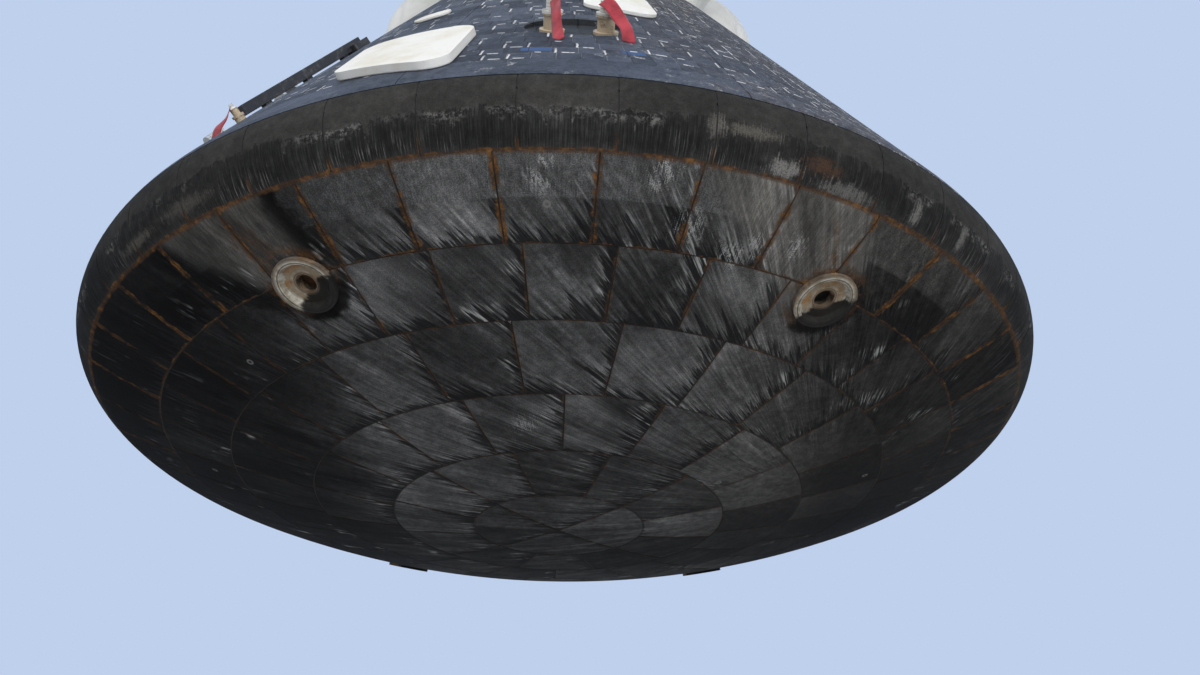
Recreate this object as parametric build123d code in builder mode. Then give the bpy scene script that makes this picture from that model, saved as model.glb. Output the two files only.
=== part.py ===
"""Recovered crew capsule, standing on its round heat shield.

Millimetres, +Z up, origin at the lowest point of the heat shield, on the capsule's axis.
Azimuths are degrees about +Z from +X, so the side seen in front is at -90.
"""
from build123d import *
from math import asin, cos, degrees, radians, sin, sqrt, tan
import os

os.makedirs("parts", exist_ok=True)

# Outer form
rim_diameter = 5030
dish_radius = 6035
shoulder_radius = 251.5
cone_angle = 30.0
wall_thickness = 180

# Heat shield
ablator_thickness = 45
seam_width = 6
bond_gap = 0.3
shoulder_top_rise = 67
shoulder_joint_inset = 103
# Rings of blocks from the rim inwards: name, width, block count, azimuth of one seam
ring_rows = (
    ("ablator_ring_6", 347, 40, -87.8),
    ("ablator_ring_5", 353, 36, -85),
    ("ablator_ring_4", 422, 24, -82.5),
    ("ablator_ring_3", 417, 18, -90),
    ("ablator_ring_2", 424, 12, -45),
)
shoulder_block_count = 44
shoulder_seam_azimuth = -86.5
centre_block_count = 4
centre_seam_azimuth = -45

# Conical wall
panel_count = 12
panel_gap = 4
floor_thickness = 40
floor_clearance = 8

# Compression pads
pad_azimuths = (-120.5, -59.5, 59.5, 120.5)
pad_ring_radius = 2036
pad_radius = 135
pad_stand_out = 14
pad_dish_depth = 20
pad_dish_share = 0.8
pad_dish_taper = 35
pad_hole_radius = 42
pad_hole_depth = 60
pad_clearance = 0.4

# Side hatch
hatch_azimuth = -150
hatch_height = 1640
hatch_width = 700
hatch_length = 900
hatch_corner = 110
hatch_gap = 8
hatch_taper = 15
hatch_hinge_offset = 34
hatch_hinge_rise = 26
hinge_pin_radius = 12
hinge_bore_clearance = 0.5
hinge_arm_width = 70
hinge_eye_radius = 26
hinge_ear_thickness = 18
hinge_side_gap = 1.5
hinge_foot_length = 64
hinge_foot_depth = 60
hinge_spacing = 520
hatch_window_radius = 95
hatch_window_up = 190

# Windows and their covers: azimuth, height, width, length
window_table = (
    (-109.6, 1230, 250, 320),
    (178.4, 1230, 250, 320),
    (-83.3, 1990, 210, 240),
    (144.7, 1990, 210, 240),
)
window_corner = 60
pane_thickness = 30
pane_depth = 60
pane_clearance = 0.4
cover_lift = 0.5

# Thruster recesses: azimuth, height, width, length, nozzles, nozzle size against the large ones, plugged
thruster_table = (
    (-89.5, 1480, 470, 330, 2, 1.0, True),
    (90.5, 1480, 470, 330, 2, 1.0, False),
    (-127.5, 1130, 190, 150, 1, 0.6, True),
    (52.5, 1130, 190, 150, 1, 0.6, False),
)
recess_depth = 26
nozzle_spacing = 230
nozzle_mouth_radius = 50
nozzle_throat_radius = 26
nozzle_length = 110
nozzle_wall = 5
nozzle_clearance = 0.5
recess_margin = 30
plug_radius = 38
plug_length = 175
plug_tip_radius = 15

# Forward bay and docking tunnel
bulkhead_thickness = 60
bay_depth = 440
bay_width = 508
docking_stand_out = 400
tunnel_bore_radius = 420
tunnel_wall = 70
docking_ring_radius = 575
docking_ring_thickness = 90
docking_ring_edge = 12
docking_bolt_count = 12
docking_bolt_inset = 43
docking_bolt_radius = 11
top_hatch_thickness = 60
top_hatch_overlap = 40
top_hatch_gap = 6
top_hatch_hinge_reach = 70
top_hatch_edge = 8
rim_ring_thickness = 36
gusset_count = 5
gusset_thickness = 26
gusset_first_azimuth = -90
gusset_shelf = 150
gusset_drop = 130
# Holes in a gusset: share of the way out to the rim, share of the bay's depth, radius
gusset_holes = ((0.42, 0.66, 110), (0.86, 0.46, 78))
lug_hole_radius = 27

# Inflated bags
bag_first_azimuth = 18
bag_inset = 153
bag_gap = 53
bag_rise_above_ring = 560
bag_neck_radius = 74
canister_radius = 112
canister_height = 360
mortar_taper = 2
# Parachute mortars: azimuth past the bag beside it, radius, height
mortar_table = (
    (24, 138, 430),
    (24, 108, 560),
    (24, 138, 430),
    (24, 108, 560),
    (24, 138, 430),
)

# Worked out from the above
edge_ring_radius = rim_diameter / 2 - shoulder_radius
edge_height = dish_radius - sqrt((dish_radius - shoulder_radius) ** 2 - edge_ring_radius**2)
edge_slope = degrees(asin(edge_ring_radius / (dish_radius - shoulder_radius)))
cone_slope = 90 + cone_angle
cone_start_radius = edge_ring_radius + shoulder_radius * cos(radians(cone_angle))
cone_start_height = edge_height + shoulder_radius * sin(radians(cone_angle))
shoulder_top_height = edge_height + shoulder_top_rise
wall_base_height = shoulder_top_height + seam_width
wall_run = wall_thickness / cos(radians(cone_angle))
bay_radius = docking_ring_radius + bay_width
wall_top_height = cone_start_height + (cone_start_radius - wall_run - bay_radius) / tan(radians(cone_angle))
docking_face_height = wall_top_height + docking_stand_out
bay_floor_height = wall_top_height - bay_depth
bulkhead_height = bay_floor_height - bulkhead_thickness
bag_count = len(mortar_table)
bag_ring_radius = bay_radius - bag_inset
bag_radius = bag_ring_radius * sin(radians(180 / bag_count)) - bag_gap / 2
bag_centre_height = docking_face_height + bag_rise_above_ring


def cone_radius(height, depth=0):
    """Radius of the conical wall at a height, a depth below its outer face."""
    run = depth / cos(radians(cone_angle))
    return cone_start_radius - (height - cone_start_height) * tan(radians(cone_angle)) - run


def dish_point(slope, depth):
    """Section point of the heat shield where its face has this slope from level."""
    turn = radians(slope)
    if slope <= edge_slope:
        radius = dish_radius - depth
        return (radius * sin(turn), dish_radius - radius * cos(turn))
    radius = shoulder_radius - depth
    return (edge_ring_radius + radius * sin(turn), edge_height - radius * cos(turn))


def dish_slope(radius):
    """Slope of the heat shield's face at a distance from the axis."""
    slope = degrees(asin(radius / dish_radius))
    if slope <= edge_slope:
        return slope
    return degrees(asin((radius - edge_ring_radius) / shoulder_radius))


def shoulder_slope(height, depth=0):
    """Slope of the heat shield's section where its shoulder reaches a height."""
    rise = (height - edge_height) / (shoulder_radius - depth)
    return 180 - degrees(asin(sqrt(1 - rise**2)))


def dish_plane(azimuth, radius, depth, outward):
    """Plane square to the heat shield's face at a place on it, a depth below the face."""
    turn = radians(azimuth)
    slope = dish_slope(radius)
    run, height = dish_point(slope, depth)
    tilt = radians(slope)
    normal = Vector(sin(tilt) * cos(turn), sin(tilt) * sin(turn), -cos(tilt))
    return Plane((run * cos(turn), run * sin(turn), height), z_dir=normal if outward else -normal)


def dish_arcs(start, end, depth):
    """Arcs along the heat shield's section from one slope to another."""
    stops = [start, end]
    if start < edge_slope < end:
        stops.insert(1, edge_slope)
    for low, high in zip(stops, stops[1:]):
        middle = (low + high) / 2
        ThreePointArc(dish_point(low, depth), dish_point(middle, depth), dish_point(high, depth))


def wall_plane(azimuth, height, lift=0, inward=False):
    """Plane on the conical wall, x along the rim, z along the wall's normal."""
    turn = radians(azimuth)
    lean = radians(cone_angle)
    radius = cone_radius(height)
    normal = Vector(cos(lean) * cos(turn), cos(lean) * sin(turn), sin(lean))
    origin = Vector(radius * cos(turn), radius * sin(turn), height) + normal * lift
    return Plane(origin, x_dir=(-sin(turn), cos(turn), 0), z_dir=-normal if inward else normal)


def side_plane(azimuth, inset):
    """Upright plane through the axis, moved sideways by an inset."""
    turn = radians(azimuth)
    normal = Vector(-sin(turn), cos(turn), 0)
    return Plane(normal * inset, x_dir=(cos(turn), sin(turn), 0), z_dir=normal)


def finish(builder, name):
    """Label a finished piece and write its file."""
    builder.part.label = name
    export_step(builder.part, f"parts/{name}.step")


# Heat shield carrier, the body that the ablator blocks are bonded to
carrier_depth = ablator_thickness + bond_gap
carrier_top_slope = shoulder_slope(wall_base_height, carrier_depth)
carrier_rim = dish_point(carrier_top_slope, carrier_depth)
with BuildPart() as carrier:
    with BuildSketch(Plane.XZ):
        with BuildLine():
            dish_arcs(0, carrier_top_slope, carrier_depth)
            Polyline(carrier_rim, (0, carrier_rim[1]), dish_point(0, carrier_depth))
        make_face()
    revolve(axis=Axis.Z)
    for pad_azimuth in pad_azimuths:
        with BuildSketch(dish_plane(pad_azimuth, pad_ring_radius, carrier_depth, outward=False)):
            Circle(pad_hole_radius)
        extrude(amount=pad_hole_depth - ablator_thickness, both=True, mode=Mode.SUBTRACT)
finish(carrier, "heat_shield_carrier")

# Ablator blocks in rings: name, inner radius, outer radius, block count, azimuth of one seam
shoulder_top_slope = shoulder_slope(shoulder_top_height)
ring_outer_radius = rim_diameter / 2 - shoulder_joint_inset
ring_table = [("ablator_shoulder", ring_outer_radius, None, shoulder_block_count, shoulder_seam_azimuth)]
for ring_name, ring_width, block_count, seam_azimuth in ring_rows:
    ring_inner_radius = ring_outer_radius - ring_width
    ring_table.append((ring_name, ring_inner_radius, ring_outer_radius, block_count, seam_azimuth))
    ring_outer_radius = ring_inner_radius
ring_table.append(("ablator_centre", 0, ring_outer_radius, centre_block_count, centre_seam_azimuth))
with BuildPart() as pad_wells:
    for pad_azimuth in pad_azimuths:
        with BuildSketch(dish_plane(pad_azimuth, pad_ring_radius, 0, outward=False)):
            Circle(pad_radius + pad_clearance)
        extrude(amount=2 * ablator_thickness, both=True)
for ring_name, inner_radius, outer_radius, block_count, seam_azimuth in ring_table:
    half_seam = degrees(seam_width / 2 / dish_radius)
    start_slope = dish_slope(inner_radius) + half_seam if inner_radius else 0
    if outer_radius is None:
        end_slope = shoulder_top_slope
    else:
        end_slope = dish_slope(outer_radius) - half_seam
    block_pitch = 360 / block_count
    with BuildPart() as block:
        with BuildSketch(Plane.XZ):
            with BuildLine():
                dish_arcs(start_slope, end_slope, 0)
                dish_arcs(start_slope, end_slope, ablator_thickness)
                Line(dish_point(start_slope, 0), dish_point(start_slope, ablator_thickness))
                Line(dish_point(end_slope, 0), dish_point(end_slope, ablator_thickness))
            make_face()
        revolve(axis=Axis.Z, revolution_arc=block_pitch)
        split(bisect_by=side_plane(0, seam_width / 2))
        split(bisect_by=side_plane(block_pitch, -seam_width / 2), keep=Keep.BOTTOM)
    with BuildPart() as ring:
        with PolarLocations(0, block_count, start_angle=seam_azimuth):
            add(block.part)
        if inner_radius < pad_ring_radius + pad_radius and (outer_radius or 0) > pad_ring_radius - pad_radius:
            add(pad_wells.part, mode=Mode.SUBTRACT)
    finish(ring, ring_name)

# Compression pads, dished plugs that pass the loads to the module below
with BuildPart() as compression_pads:
    for pad_azimuth in pad_azimuths:
        pad_plane = dish_plane(pad_azimuth, pad_ring_radius, 0, outward=True)
        with BuildSketch(pad_plane.offset(-ablator_thickness)):
            Circle(pad_radius)
            Circle(pad_hole_radius, mode=Mode.SUBTRACT)
        extrude(amount=ablator_thickness + pad_stand_out)
        with BuildSketch(pad_plane.offset(pad_stand_out)):
            Circle(pad_radius * pad_dish_share)
        extrude(amount=-pad_dish_depth, taper=pad_dish_taper, mode=Mode.SUBTRACT)
finish(compression_pads, "compression_pads")

# Conical wall, one panel per bay between two seams
panel_pitch = 360 / panel_count
wall_base_slope = shoulder_slope(wall_base_height)
with BuildPart() as wall_blank:
    with BuildSketch(Plane.XZ):
        with BuildLine():
            dish_arcs(wall_base_slope, cone_slope, 0)
            Polyline(
                dish_point(cone_slope, 0),
                (cone_radius(wall_top_height), wall_top_height),
                (cone_radius(wall_top_height) - wall_run, wall_top_height),
                (cone_radius(wall_base_height) - wall_run, wall_base_height),
                dish_point(wall_base_slope, 0),
            )
        make_face()
    revolve(axis=Axis.Z, revolution_arc=panel_pitch)
    split(bisect_by=side_plane(0, panel_gap / 2))
    split(bisect_by=side_plane(panel_pitch, -panel_gap / 2), keep=Keep.BOTTOM)

# Openings cut through the wall
with BuildPart() as window_cuts:
    for azimuth, height, width, length in window_table:
        with BuildSketch(wall_plane(azimuth, height, lift=wall_thickness, inward=True)):
            RectangleRounded(width, length, window_corner)
        extrude(amount=3 * wall_thickness)
with BuildPart() as hatch_opening:
    with BuildSketch(wall_plane(hatch_azimuth, hatch_height, lift=wall_thickness / 2, inward=True)):
        RectangleRounded(hatch_width + 2 * hatch_gap, hatch_length + 2 * hatch_gap, hatch_corner + hatch_gap)
    extrude(amount=2 * wall_thickness, taper=hatch_taper)
with BuildPart() as hatch_plug:
    with BuildSketch(wall_plane(hatch_azimuth, hatch_height, lift=wall_thickness / 2, inward=True)):
        RectangleRounded(hatch_width, hatch_length, hatch_corner)
    extrude(amount=2 * wall_thickness, taper=hatch_taper)


def nozzle_pitch(recess_width, size):
    """Distance between the two nozzles of a recess."""
    widest = recess_width - 2 * (size * (nozzle_mouth_radius + nozzle_wall) + recess_margin)
    return min(nozzle_spacing, widest)


# Thruster recesses and the bores of their nozzles
with BuildPart() as recess_cuts:
    for azimuth, height, width, length, count, size, plugged in thruster_table:
        with BuildSketch(wall_plane(azimuth, height, lift=wall_thickness, inward=True)):
            Ellipse(width / 2, length / 2)
        extrude(amount=wall_thickness + recess_depth)
        with BuildSketch(wall_plane(azimuth, height, lift=-recess_depth, inward=True)):
            with GridLocations(nozzle_pitch(width, size), 0, count, 1):
                Circle(size * (nozzle_mouth_radius + nozzle_wall) + nozzle_clearance)
        extrude(amount=nozzle_length)

for index in range(panel_count):
    centre_azimuth = -90 + index * panel_pitch
    with BuildPart() as panel:
        with PolarLocations(0, 1, start_angle=centre_azimuth - panel_pitch / 2):
            add(wall_blank.part)
        add(window_cuts.part, mode=Mode.SUBTRACT)
        add(recess_cuts.part, mode=Mode.SUBTRACT)
        if abs((centre_azimuth - hatch_azimuth + 180) % 360 - 180) < panel_pitch / 2:
            add(hatch_opening.part, mode=Mode.SUBTRACT)
    finish(panel, f"wall_panel_{index + 1:02d}")

# Window panes, set in the wall behind its outer face
with BuildPart() as window_panes:
    for azimuth, height, width, length in window_table:
        with BuildSketch(wall_plane(azimuth, height, lift=-pane_depth, inward=True)):
            RectangleRounded(width - 2 * pane_clearance, length - 2 * pane_clearance, window_corner)
        extrude(amount=pane_thickness)
finish(window_panes, "window_panes")


def wall_skin(azimuth, arc, lift, thickness):
    """Curved plate that follows the wall's outer face."""
    low, high = cone_start_height, wall_top_height
    with BuildPart() as skin:
        with BuildSketch(Plane.XZ):
            with BuildLine():
                Polyline(
                    (cone_radius(low, -lift), low),
                    (cone_radius(high, -lift), high),
                    (cone_radius(high, -lift - thickness), high),
                    (cone_radius(low, -lift - thickness), low),
                    close=True,
                )
            make_face()
        revolve(axis=Axis.Z, revolution_arc=arc)
    return skin.part.rotate(Axis.Z, azimuth - arc / 2)


# Covers on the wall: name, thickness, corner radius, azimuths, height, corners along the rim and up
cover_table = (
    ("window_covers", 35, 90, (-110, 178), 1300, ((-140, -318), (382, -482), (340, 178), (-158, 160))),
    ("upper_covers", 18, 90, (-82, 146), 2000, ((-225, -180), (130, -250), (118, 240), (-190, 240))),
    ("vent_covers", 12, 52, (-112.4, 175.6), 2000, ((-100, -60), (95, -52), (100, 62), (-84, 60))),
)
cover_edge = 6
for cover_name, thickness, corner, azimuths, height, corners in cover_table:
    with BuildPart() as covers:
        for azimuth in azimuths:
            with BuildPart(mode=Mode.PRIVATE) as cover:
                with BuildSketch(wall_plane(azimuth, height, lift=-wall_thickness)):
                    with BuildLine():
                        Polyline(*corners, close=True)
                    make_face()
                    fillet(vertices(), corner)
                extrude(amount=3 * wall_thickness)
                add(wall_skin(azimuth, 60, cover_lift, thickness), mode=Mode.INTERSECT)
                face = cover.faces().filter_by(GeomType.CONE).sort_by(SortBy.AREA)[-1]
                fillet(face.outer_wire().edges(), cover_edge)
            add(cover.part)
    finish(covers, cover_name)

# Thruster nozzles, bells sunk in their recesses, and the plugs in the ones in front
with BuildPart() as nozzle:
    with BuildSketch(Plane.XZ):
        with BuildLine():
            Polyline(
                (nozzle_mouth_radius, 0),
                (nozzle_mouth_radius + nozzle_wall, 0),
                (nozzle_throat_radius + nozzle_wall, -nozzle_length),
                (0, -nozzle_length),
                (0, nozzle_wall - nozzle_length),
                (nozzle_throat_radius, nozzle_wall - nozzle_length),
                close=True,
            )
        make_face()
    revolve(axis=Axis.Z)
# Section of a plug as shares of its radius and length: stem, flange on the nozzle's rim, collar, cap
plug_foot = -0.6 * nozzle_length
plug_flange = nozzle_mouth_radius + nozzle_wall
plug_section = (
    (0, plug_foot),
    (nozzle_throat_radius * 1.2, plug_foot),
    (plug_radius * 0.9, 0),
    (plug_flange, 0),
    (plug_flange, plug_length * 0.07),
    (plug_radius, plug_length * 0.07),
    (plug_radius, plug_length * 0.42),
    (plug_radius * 1.2, plug_length * 0.42),
    (plug_radius * 1.2, plug_length * 0.52),
    (plug_radius * 0.75, plug_length * 0.52),
    (plug_radius * 0.75, plug_length * 0.8),
    (plug_tip_radius, plug_length * 0.86),
    (plug_tip_radius, plug_length),
    (0, plug_length),
)
with BuildPart() as plug:
    with BuildSketch(Plane.XZ):
        with BuildLine():
            Polyline(*plug_section, close=True)
        make_face()
    revolve(axis=Axis.Z)
with BuildPart() as nozzles:
    for azimuth, height, width, length, count, size, plugged in thruster_table:
        with Locations(wall_plane(azimuth, height, lift=-recess_depth)):
            with GridLocations(nozzle_pitch(width, size), 0, count, 1):
                add(scale(nozzle.part, by=size, mode=Mode.PRIVATE))
finish(nozzles, "thruster_nozzles")
with BuildPart() as plugs:
    for azimuth, height, width, length, count, size, plugged in thruster_table:
        if plugged:
            with Locations(wall_plane(azimuth, height, lift=-recess_depth)):
                with GridLocations(nozzle_pitch(width, size), 0, count, 1):
                    add(scale(plug.part, by=size, mode=Mode.PRIVATE))
finish(plugs, "nozzle_plugs")

# Cloth streamers that hang from the plugs: thruster row, side of the pair, swing, length
streamer_table = ((0, -1, -2, 270), (0, 1, 24, 270), (2, 0, 6, 170))
streamer_width = 55
streamer_thickness = 3
with BuildPart() as streamers:
    for row, side, swing, streamer_length in streamer_table:
        azimuth, height, width, length, count, size, plugged = thruster_table[row]
        mouth_plane = wall_plane(azimuth, height, lift=-recess_depth)
        tip_radius = plug_tip_radius * size
        tip_across = side * nozzle_pitch(width, size) / 2
        tip = mouth_plane.from_local_coords(Vector(tip_across, 0, plug_length * size))
        outward = Vector(mouth_plane.z_dir.X, mouth_plane.z_dir.Y, 0).normalized()
        hang = tip + outward * (tip_radius * sin(radians(cone_angle)) + bond_gap)
        with BuildSketch(Plane(hang, x_dir=mouth_plane.x_dir, z_dir=outward)):
            with Locations(Location((0, 0, 0), (0, 0, swing))):
                with Locations((0, tip_radius - streamer_length / 2)):
                    Rectangle(streamer_width, streamer_length)
        extrude(amount=streamer_thickness)
finish(streamers, "plug_streamers")

# Side hatch, a tapered plug door with its outer face on the wall's cone
hinge_side = hatch_width / 2 - wall_thickness / 2 * tan(radians(hatch_taper)) + hatch_hinge_offset
with BuildPart() as side_hatch:
    with PolarLocations(0, 1, start_angle=hatch_azimuth - panel_pitch / 2):
        add(wall_blank.part)
    add(hatch_plug.part, mode=Mode.INTERSECT)
    with BuildSketch(wall_plane(hatch_azimuth, hatch_height, lift=wall_thickness, inward=True)):
        with Locations((0, -hatch_window_up)):
            Circle(hatch_window_radius)
    extrude(amount=3 * wall_thickness, mode=Mode.SUBTRACT)
finish(side_hatch, "side_hatch")
with BuildPart() as hatch_pane:
    with BuildSketch(wall_plane(hatch_azimuth, hatch_height, lift=-pane_depth, inward=True)):
        with Locations((0, -hatch_window_up)):
            Circle(hatch_window_radius - pane_clearance)
    extrude(amount=pane_thickness)
finish(hatch_pane, "hatch_window")

# Solid inside of the wall's outer face, which trims what stands on the wall
with BuildPart() as wall_core:
    with BuildSketch(Plane.XZ):
        with BuildLine():
            Polyline(
                (0, cone_start_height),
                (cone_radius(cone_start_height, -bond_gap), cone_start_height),
                (cone_radius(wall_top_height, -bond_gap), wall_top_height),
                (0, wall_top_height),
                close=True,
            )
        make_face()
    revolve(axis=Axis.Z)

# Hatch hinge: arms on the hatch, each between two ears with a pin on the wall
hatch_plane = wall_plane(hatch_azimuth, hatch_height)
hinge_plane = Plane(hatch_plane.origin, x_dir=hatch_plane.x_dir, z_dir=hatch_plane.y_dir)
hatch_edge = hinge_side - hatch_hinge_offset
arm_inner_end = 140
arm_shoulder = 12
with BuildPart() as hatch_arms:
    for arm_place in (-hinge_spacing / 2, hinge_spacing / 2):
        with BuildSketch(hinge_plane.offset(arm_place)):
            with BuildLine():
                Polyline(
                    (hinge_side, -hatch_hinge_rise - hinge_eye_radius),
                    (hinge_side, -hatch_hinge_rise + hinge_eye_radius),
                    (hatch_edge, -hatch_hinge_rise + hinge_eye_radius),
                    (hatch_edge - arm_shoulder, hinge_foot_depth),
                    (arm_inner_end, hinge_foot_depth),
                    (arm_inner_end, -hinge_eye_radius / 2),
                    close=True,
                )
            make_face()
            with Locations((hinge_side, -hatch_hinge_rise)):
                Circle(hinge_eye_radius)
                Circle(hinge_pin_radius + hinge_bore_clearance, mode=Mode.SUBTRACT)
        extrude(amount=hinge_arm_width / 2, both=True)
    add(wall_core.part, mode=Mode.SUBTRACT)
finish(hatch_arms, "hatch_hinge_arms")
ear_offset = hinge_arm_width / 2 + hinge_side_gap
with BuildPart() as hatch_ears:
    for arm_place in (-hinge_spacing / 2, hinge_spacing / 2):
        for side in (-1, 1):
            with BuildSketch(hinge_plane.offset(arm_place + side * ear_offset)):
                with Locations((hinge_side, -hatch_hinge_rise)):
                    Circle(hinge_eye_radius)
                with BuildLine():
                    Polyline(
                        (hinge_side - hinge_pin_radius, -hatch_hinge_rise),
                        (hinge_side + hinge_eye_radius, -hatch_hinge_rise),
                        (hinge_side + hinge_foot_length, hinge_foot_depth),
                        (hinge_side - hinge_pin_radius, hinge_foot_depth),
                        close=True,
                    )
                make_face()
            extrude(amount=side * hinge_ear_thickness)
        with BuildSketch(hinge_plane.offset(arm_place)):
            with Locations((hinge_side, -hatch_hinge_rise)):
                Circle(hinge_pin_radius)
        extrude(amount=ear_offset + hinge_ear_thickness, both=True)
    add(wall_core.part, mode=Mode.SUBTRACT)
finish(hatch_ears, "hatch_hinge_ears")

# Latch handle on the hatch
handle_length = 210
handle_post = 26
handle_stand_off = 46
handle_place = (-175, -180)
with BuildPart() as hatch_handle:
    with BuildSketch(hatch_plane.offset(-hinge_foot_depth)):
        with Locations(handle_place):
            with GridLocations(0, handle_length - handle_post, 1, 2):
                Circle(handle_post / 2)
    extrude(amount=handle_stand_off + hinge_foot_depth)
    with BuildSketch(hatch_plane.offset(handle_stand_off - handle_post / 2)):
        with Locations(handle_place):
            SlotOverall(handle_length, handle_post, rotation=90)
    extrude(amount=handle_post)
    add(wall_core.part, mode=Mode.SUBTRACT)
finish(hatch_handle, "hatch_handle")

# Dark rail on the wall beside the hatch, with a fitting at its top
rail_azimuth = -130
rail_height = 1700
rail_length = 1040
rail_width = 46
rail_stand_off = 58
rail_post_width = 32
rail_post_pitch = 347
rail_plate = (120, 138, 15)
with BuildPart() as side_rail:
    rail_plane = wall_plane(rail_azimuth, rail_height)
    with BuildSketch(rail_plane.offset(rail_stand_off - rail_width)):
        Rectangle(rail_width, rail_length)
    extrude(amount=rail_width)
    with BuildSketch(rail_plane.offset(-hinge_foot_depth)):
        with GridLocations(0, rail_post_pitch, 1, 3):
            Rectangle(rail_post_width, rail_width)
        with Locations((0, rail_length / 2 - rail_width)):
            RectangleRounded(*rail_plate)
    extrude(amount=rail_stand_off - rail_width / 2 + hinge_foot_depth)
    add(wall_core.part, mode=Mode.SUBTRACT)
finish(side_rail, "hatch_side_rail")


def wall_inside(height):
    """Radius of the conical wall's inner face at a height."""
    return cone_radius(height, wall_thickness)


# Cabin floor on the carrier's top
floor_top_height = wall_base_height + floor_thickness
with BuildPart() as floor:
    with BuildSketch(Plane.XY.offset(wall_base_height)):
        Circle(wall_inside(floor_top_height) - floor_clearance)
    extrude(amount=floor_thickness)
finish(floor, "cabin_floor")

# Forward bulkhead, which closes the cabin and floors the forward bay
with BuildPart() as bulkhead:
    with BuildSketch(Plane.XZ):
        with BuildLine():
            Polyline(
                (tunnel_bore_radius, bulkhead_height),
                (wall_inside(bulkhead_height) - bond_gap, bulkhead_height),
                (wall_inside(bay_floor_height) - bond_gap, bay_floor_height),
                (tunnel_bore_radius, bay_floor_height),
                close=True,
            )
        make_face()
    revolve(axis=Axis.Z)
finish(bulkhead, "forward_bulkhead")

# Docking tunnel and the ring on its top
tunnel_radius = tunnel_bore_radius + tunnel_wall
ring_foot_height = docking_face_height - docking_ring_thickness
with BuildPart() as tunnel:
    with BuildSketch(Plane.XY.offset(bay_floor_height)):
        Circle(tunnel_radius)
        Circle(tunnel_bore_radius, mode=Mode.SUBTRACT)
    extrude(amount=ring_foot_height - bay_floor_height)
finish(tunnel, "docking_tunnel")
with BuildPart() as docking_ring:
    with BuildSketch(Plane.XY.offset(ring_foot_height)):
        Circle(docking_ring_radius)
        Circle(tunnel_bore_radius, mode=Mode.SUBTRACT)
        with PolarLocations(docking_ring_radius - docking_bolt_inset, docking_bolt_count):
            Circle(docking_bolt_radius, mode=Mode.SUBTRACT)
    extrude(amount=docking_ring_thickness)
    chamfer(docking_ring.faces().sort_by(Axis.Z)[-1].outer_wire().edges(), docking_ring_edge)
finish(docking_ring, "docking_ring")

# Top hatch under the bulkhead, hinged at the side away from the front
top_hatch_radius = tunnel_bore_radius + top_hatch_overlap
top_hatch_face_height = bulkhead_height - top_hatch_gap
top_hinge_distance = top_hatch_radius + top_hatch_hinge_reach
top_hinge_height = top_hatch_face_height - top_hatch_thickness / 2
top_lug_places = (-150, 150)
top_lug_root_radius = 391
top_lug_root_inset = 4
top_lug_thickness = 35
with BuildPart() as top_hatch:
    with BuildSketch(Plane.XY.offset(top_hatch_face_height - top_hatch_thickness)):
        Circle(top_hatch_radius)
    extrude(amount=top_hatch_thickness)
    chamfer(top_hatch.edges().filter_by(GeomType.CIRCLE), top_hatch_edge)
    for lug_place in top_lug_places:
        with BuildSketch(Plane.YZ.offset(lug_place)):
            with BuildLine():
                Polyline(
                    (top_hinge_distance, top_hinge_height - hinge_eye_radius),
                    (top_hinge_distance, top_hinge_height + hinge_eye_radius),
                    (top_lug_root_radius, top_hatch_face_height - top_lug_root_inset),
                    (top_lug_root_radius, top_hatch_face_height - top_hatch_thickness + top_lug_root_inset),
                    close=True,
                )
            make_face()
            with Locations((top_hinge_distance, top_hinge_height)):
                Circle(hinge_eye_radius)
                Circle(hinge_pin_radius + hinge_bore_clearance, mode=Mode.SUBTRACT)
        extrude(amount=top_lug_thickness / 2, both=True)
finish(top_hatch, "top_hatch")
with BuildPart() as top_hinge:
    for lug_place in top_lug_places:
        for side in (-1, 1):
            ear_place = lug_place + side * (top_lug_thickness / 2 + hinge_side_gap)
            with BuildSketch(Plane.YZ.offset(ear_place)):
                with Locations((top_hinge_distance, top_hinge_height)):
                    Circle(hinge_eye_radius)
                with Locations((top_hinge_distance, (top_hinge_height + bulkhead_height) / 2)):
                    Rectangle(2 * hinge_eye_radius, bulkhead_height - top_hinge_height)
            extrude(amount=side * hinge_ear_thickness)
        with BuildSketch(Plane.YZ.offset(lug_place)):
            with Locations((top_hinge_distance, top_hinge_height)):
                Circle(hinge_pin_radius)
        extrude(amount=top_lug_thickness / 2 + hinge_side_gap + hinge_ear_thickness, both=True)
finish(top_hinge, "top_hatch_hinge")

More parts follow.
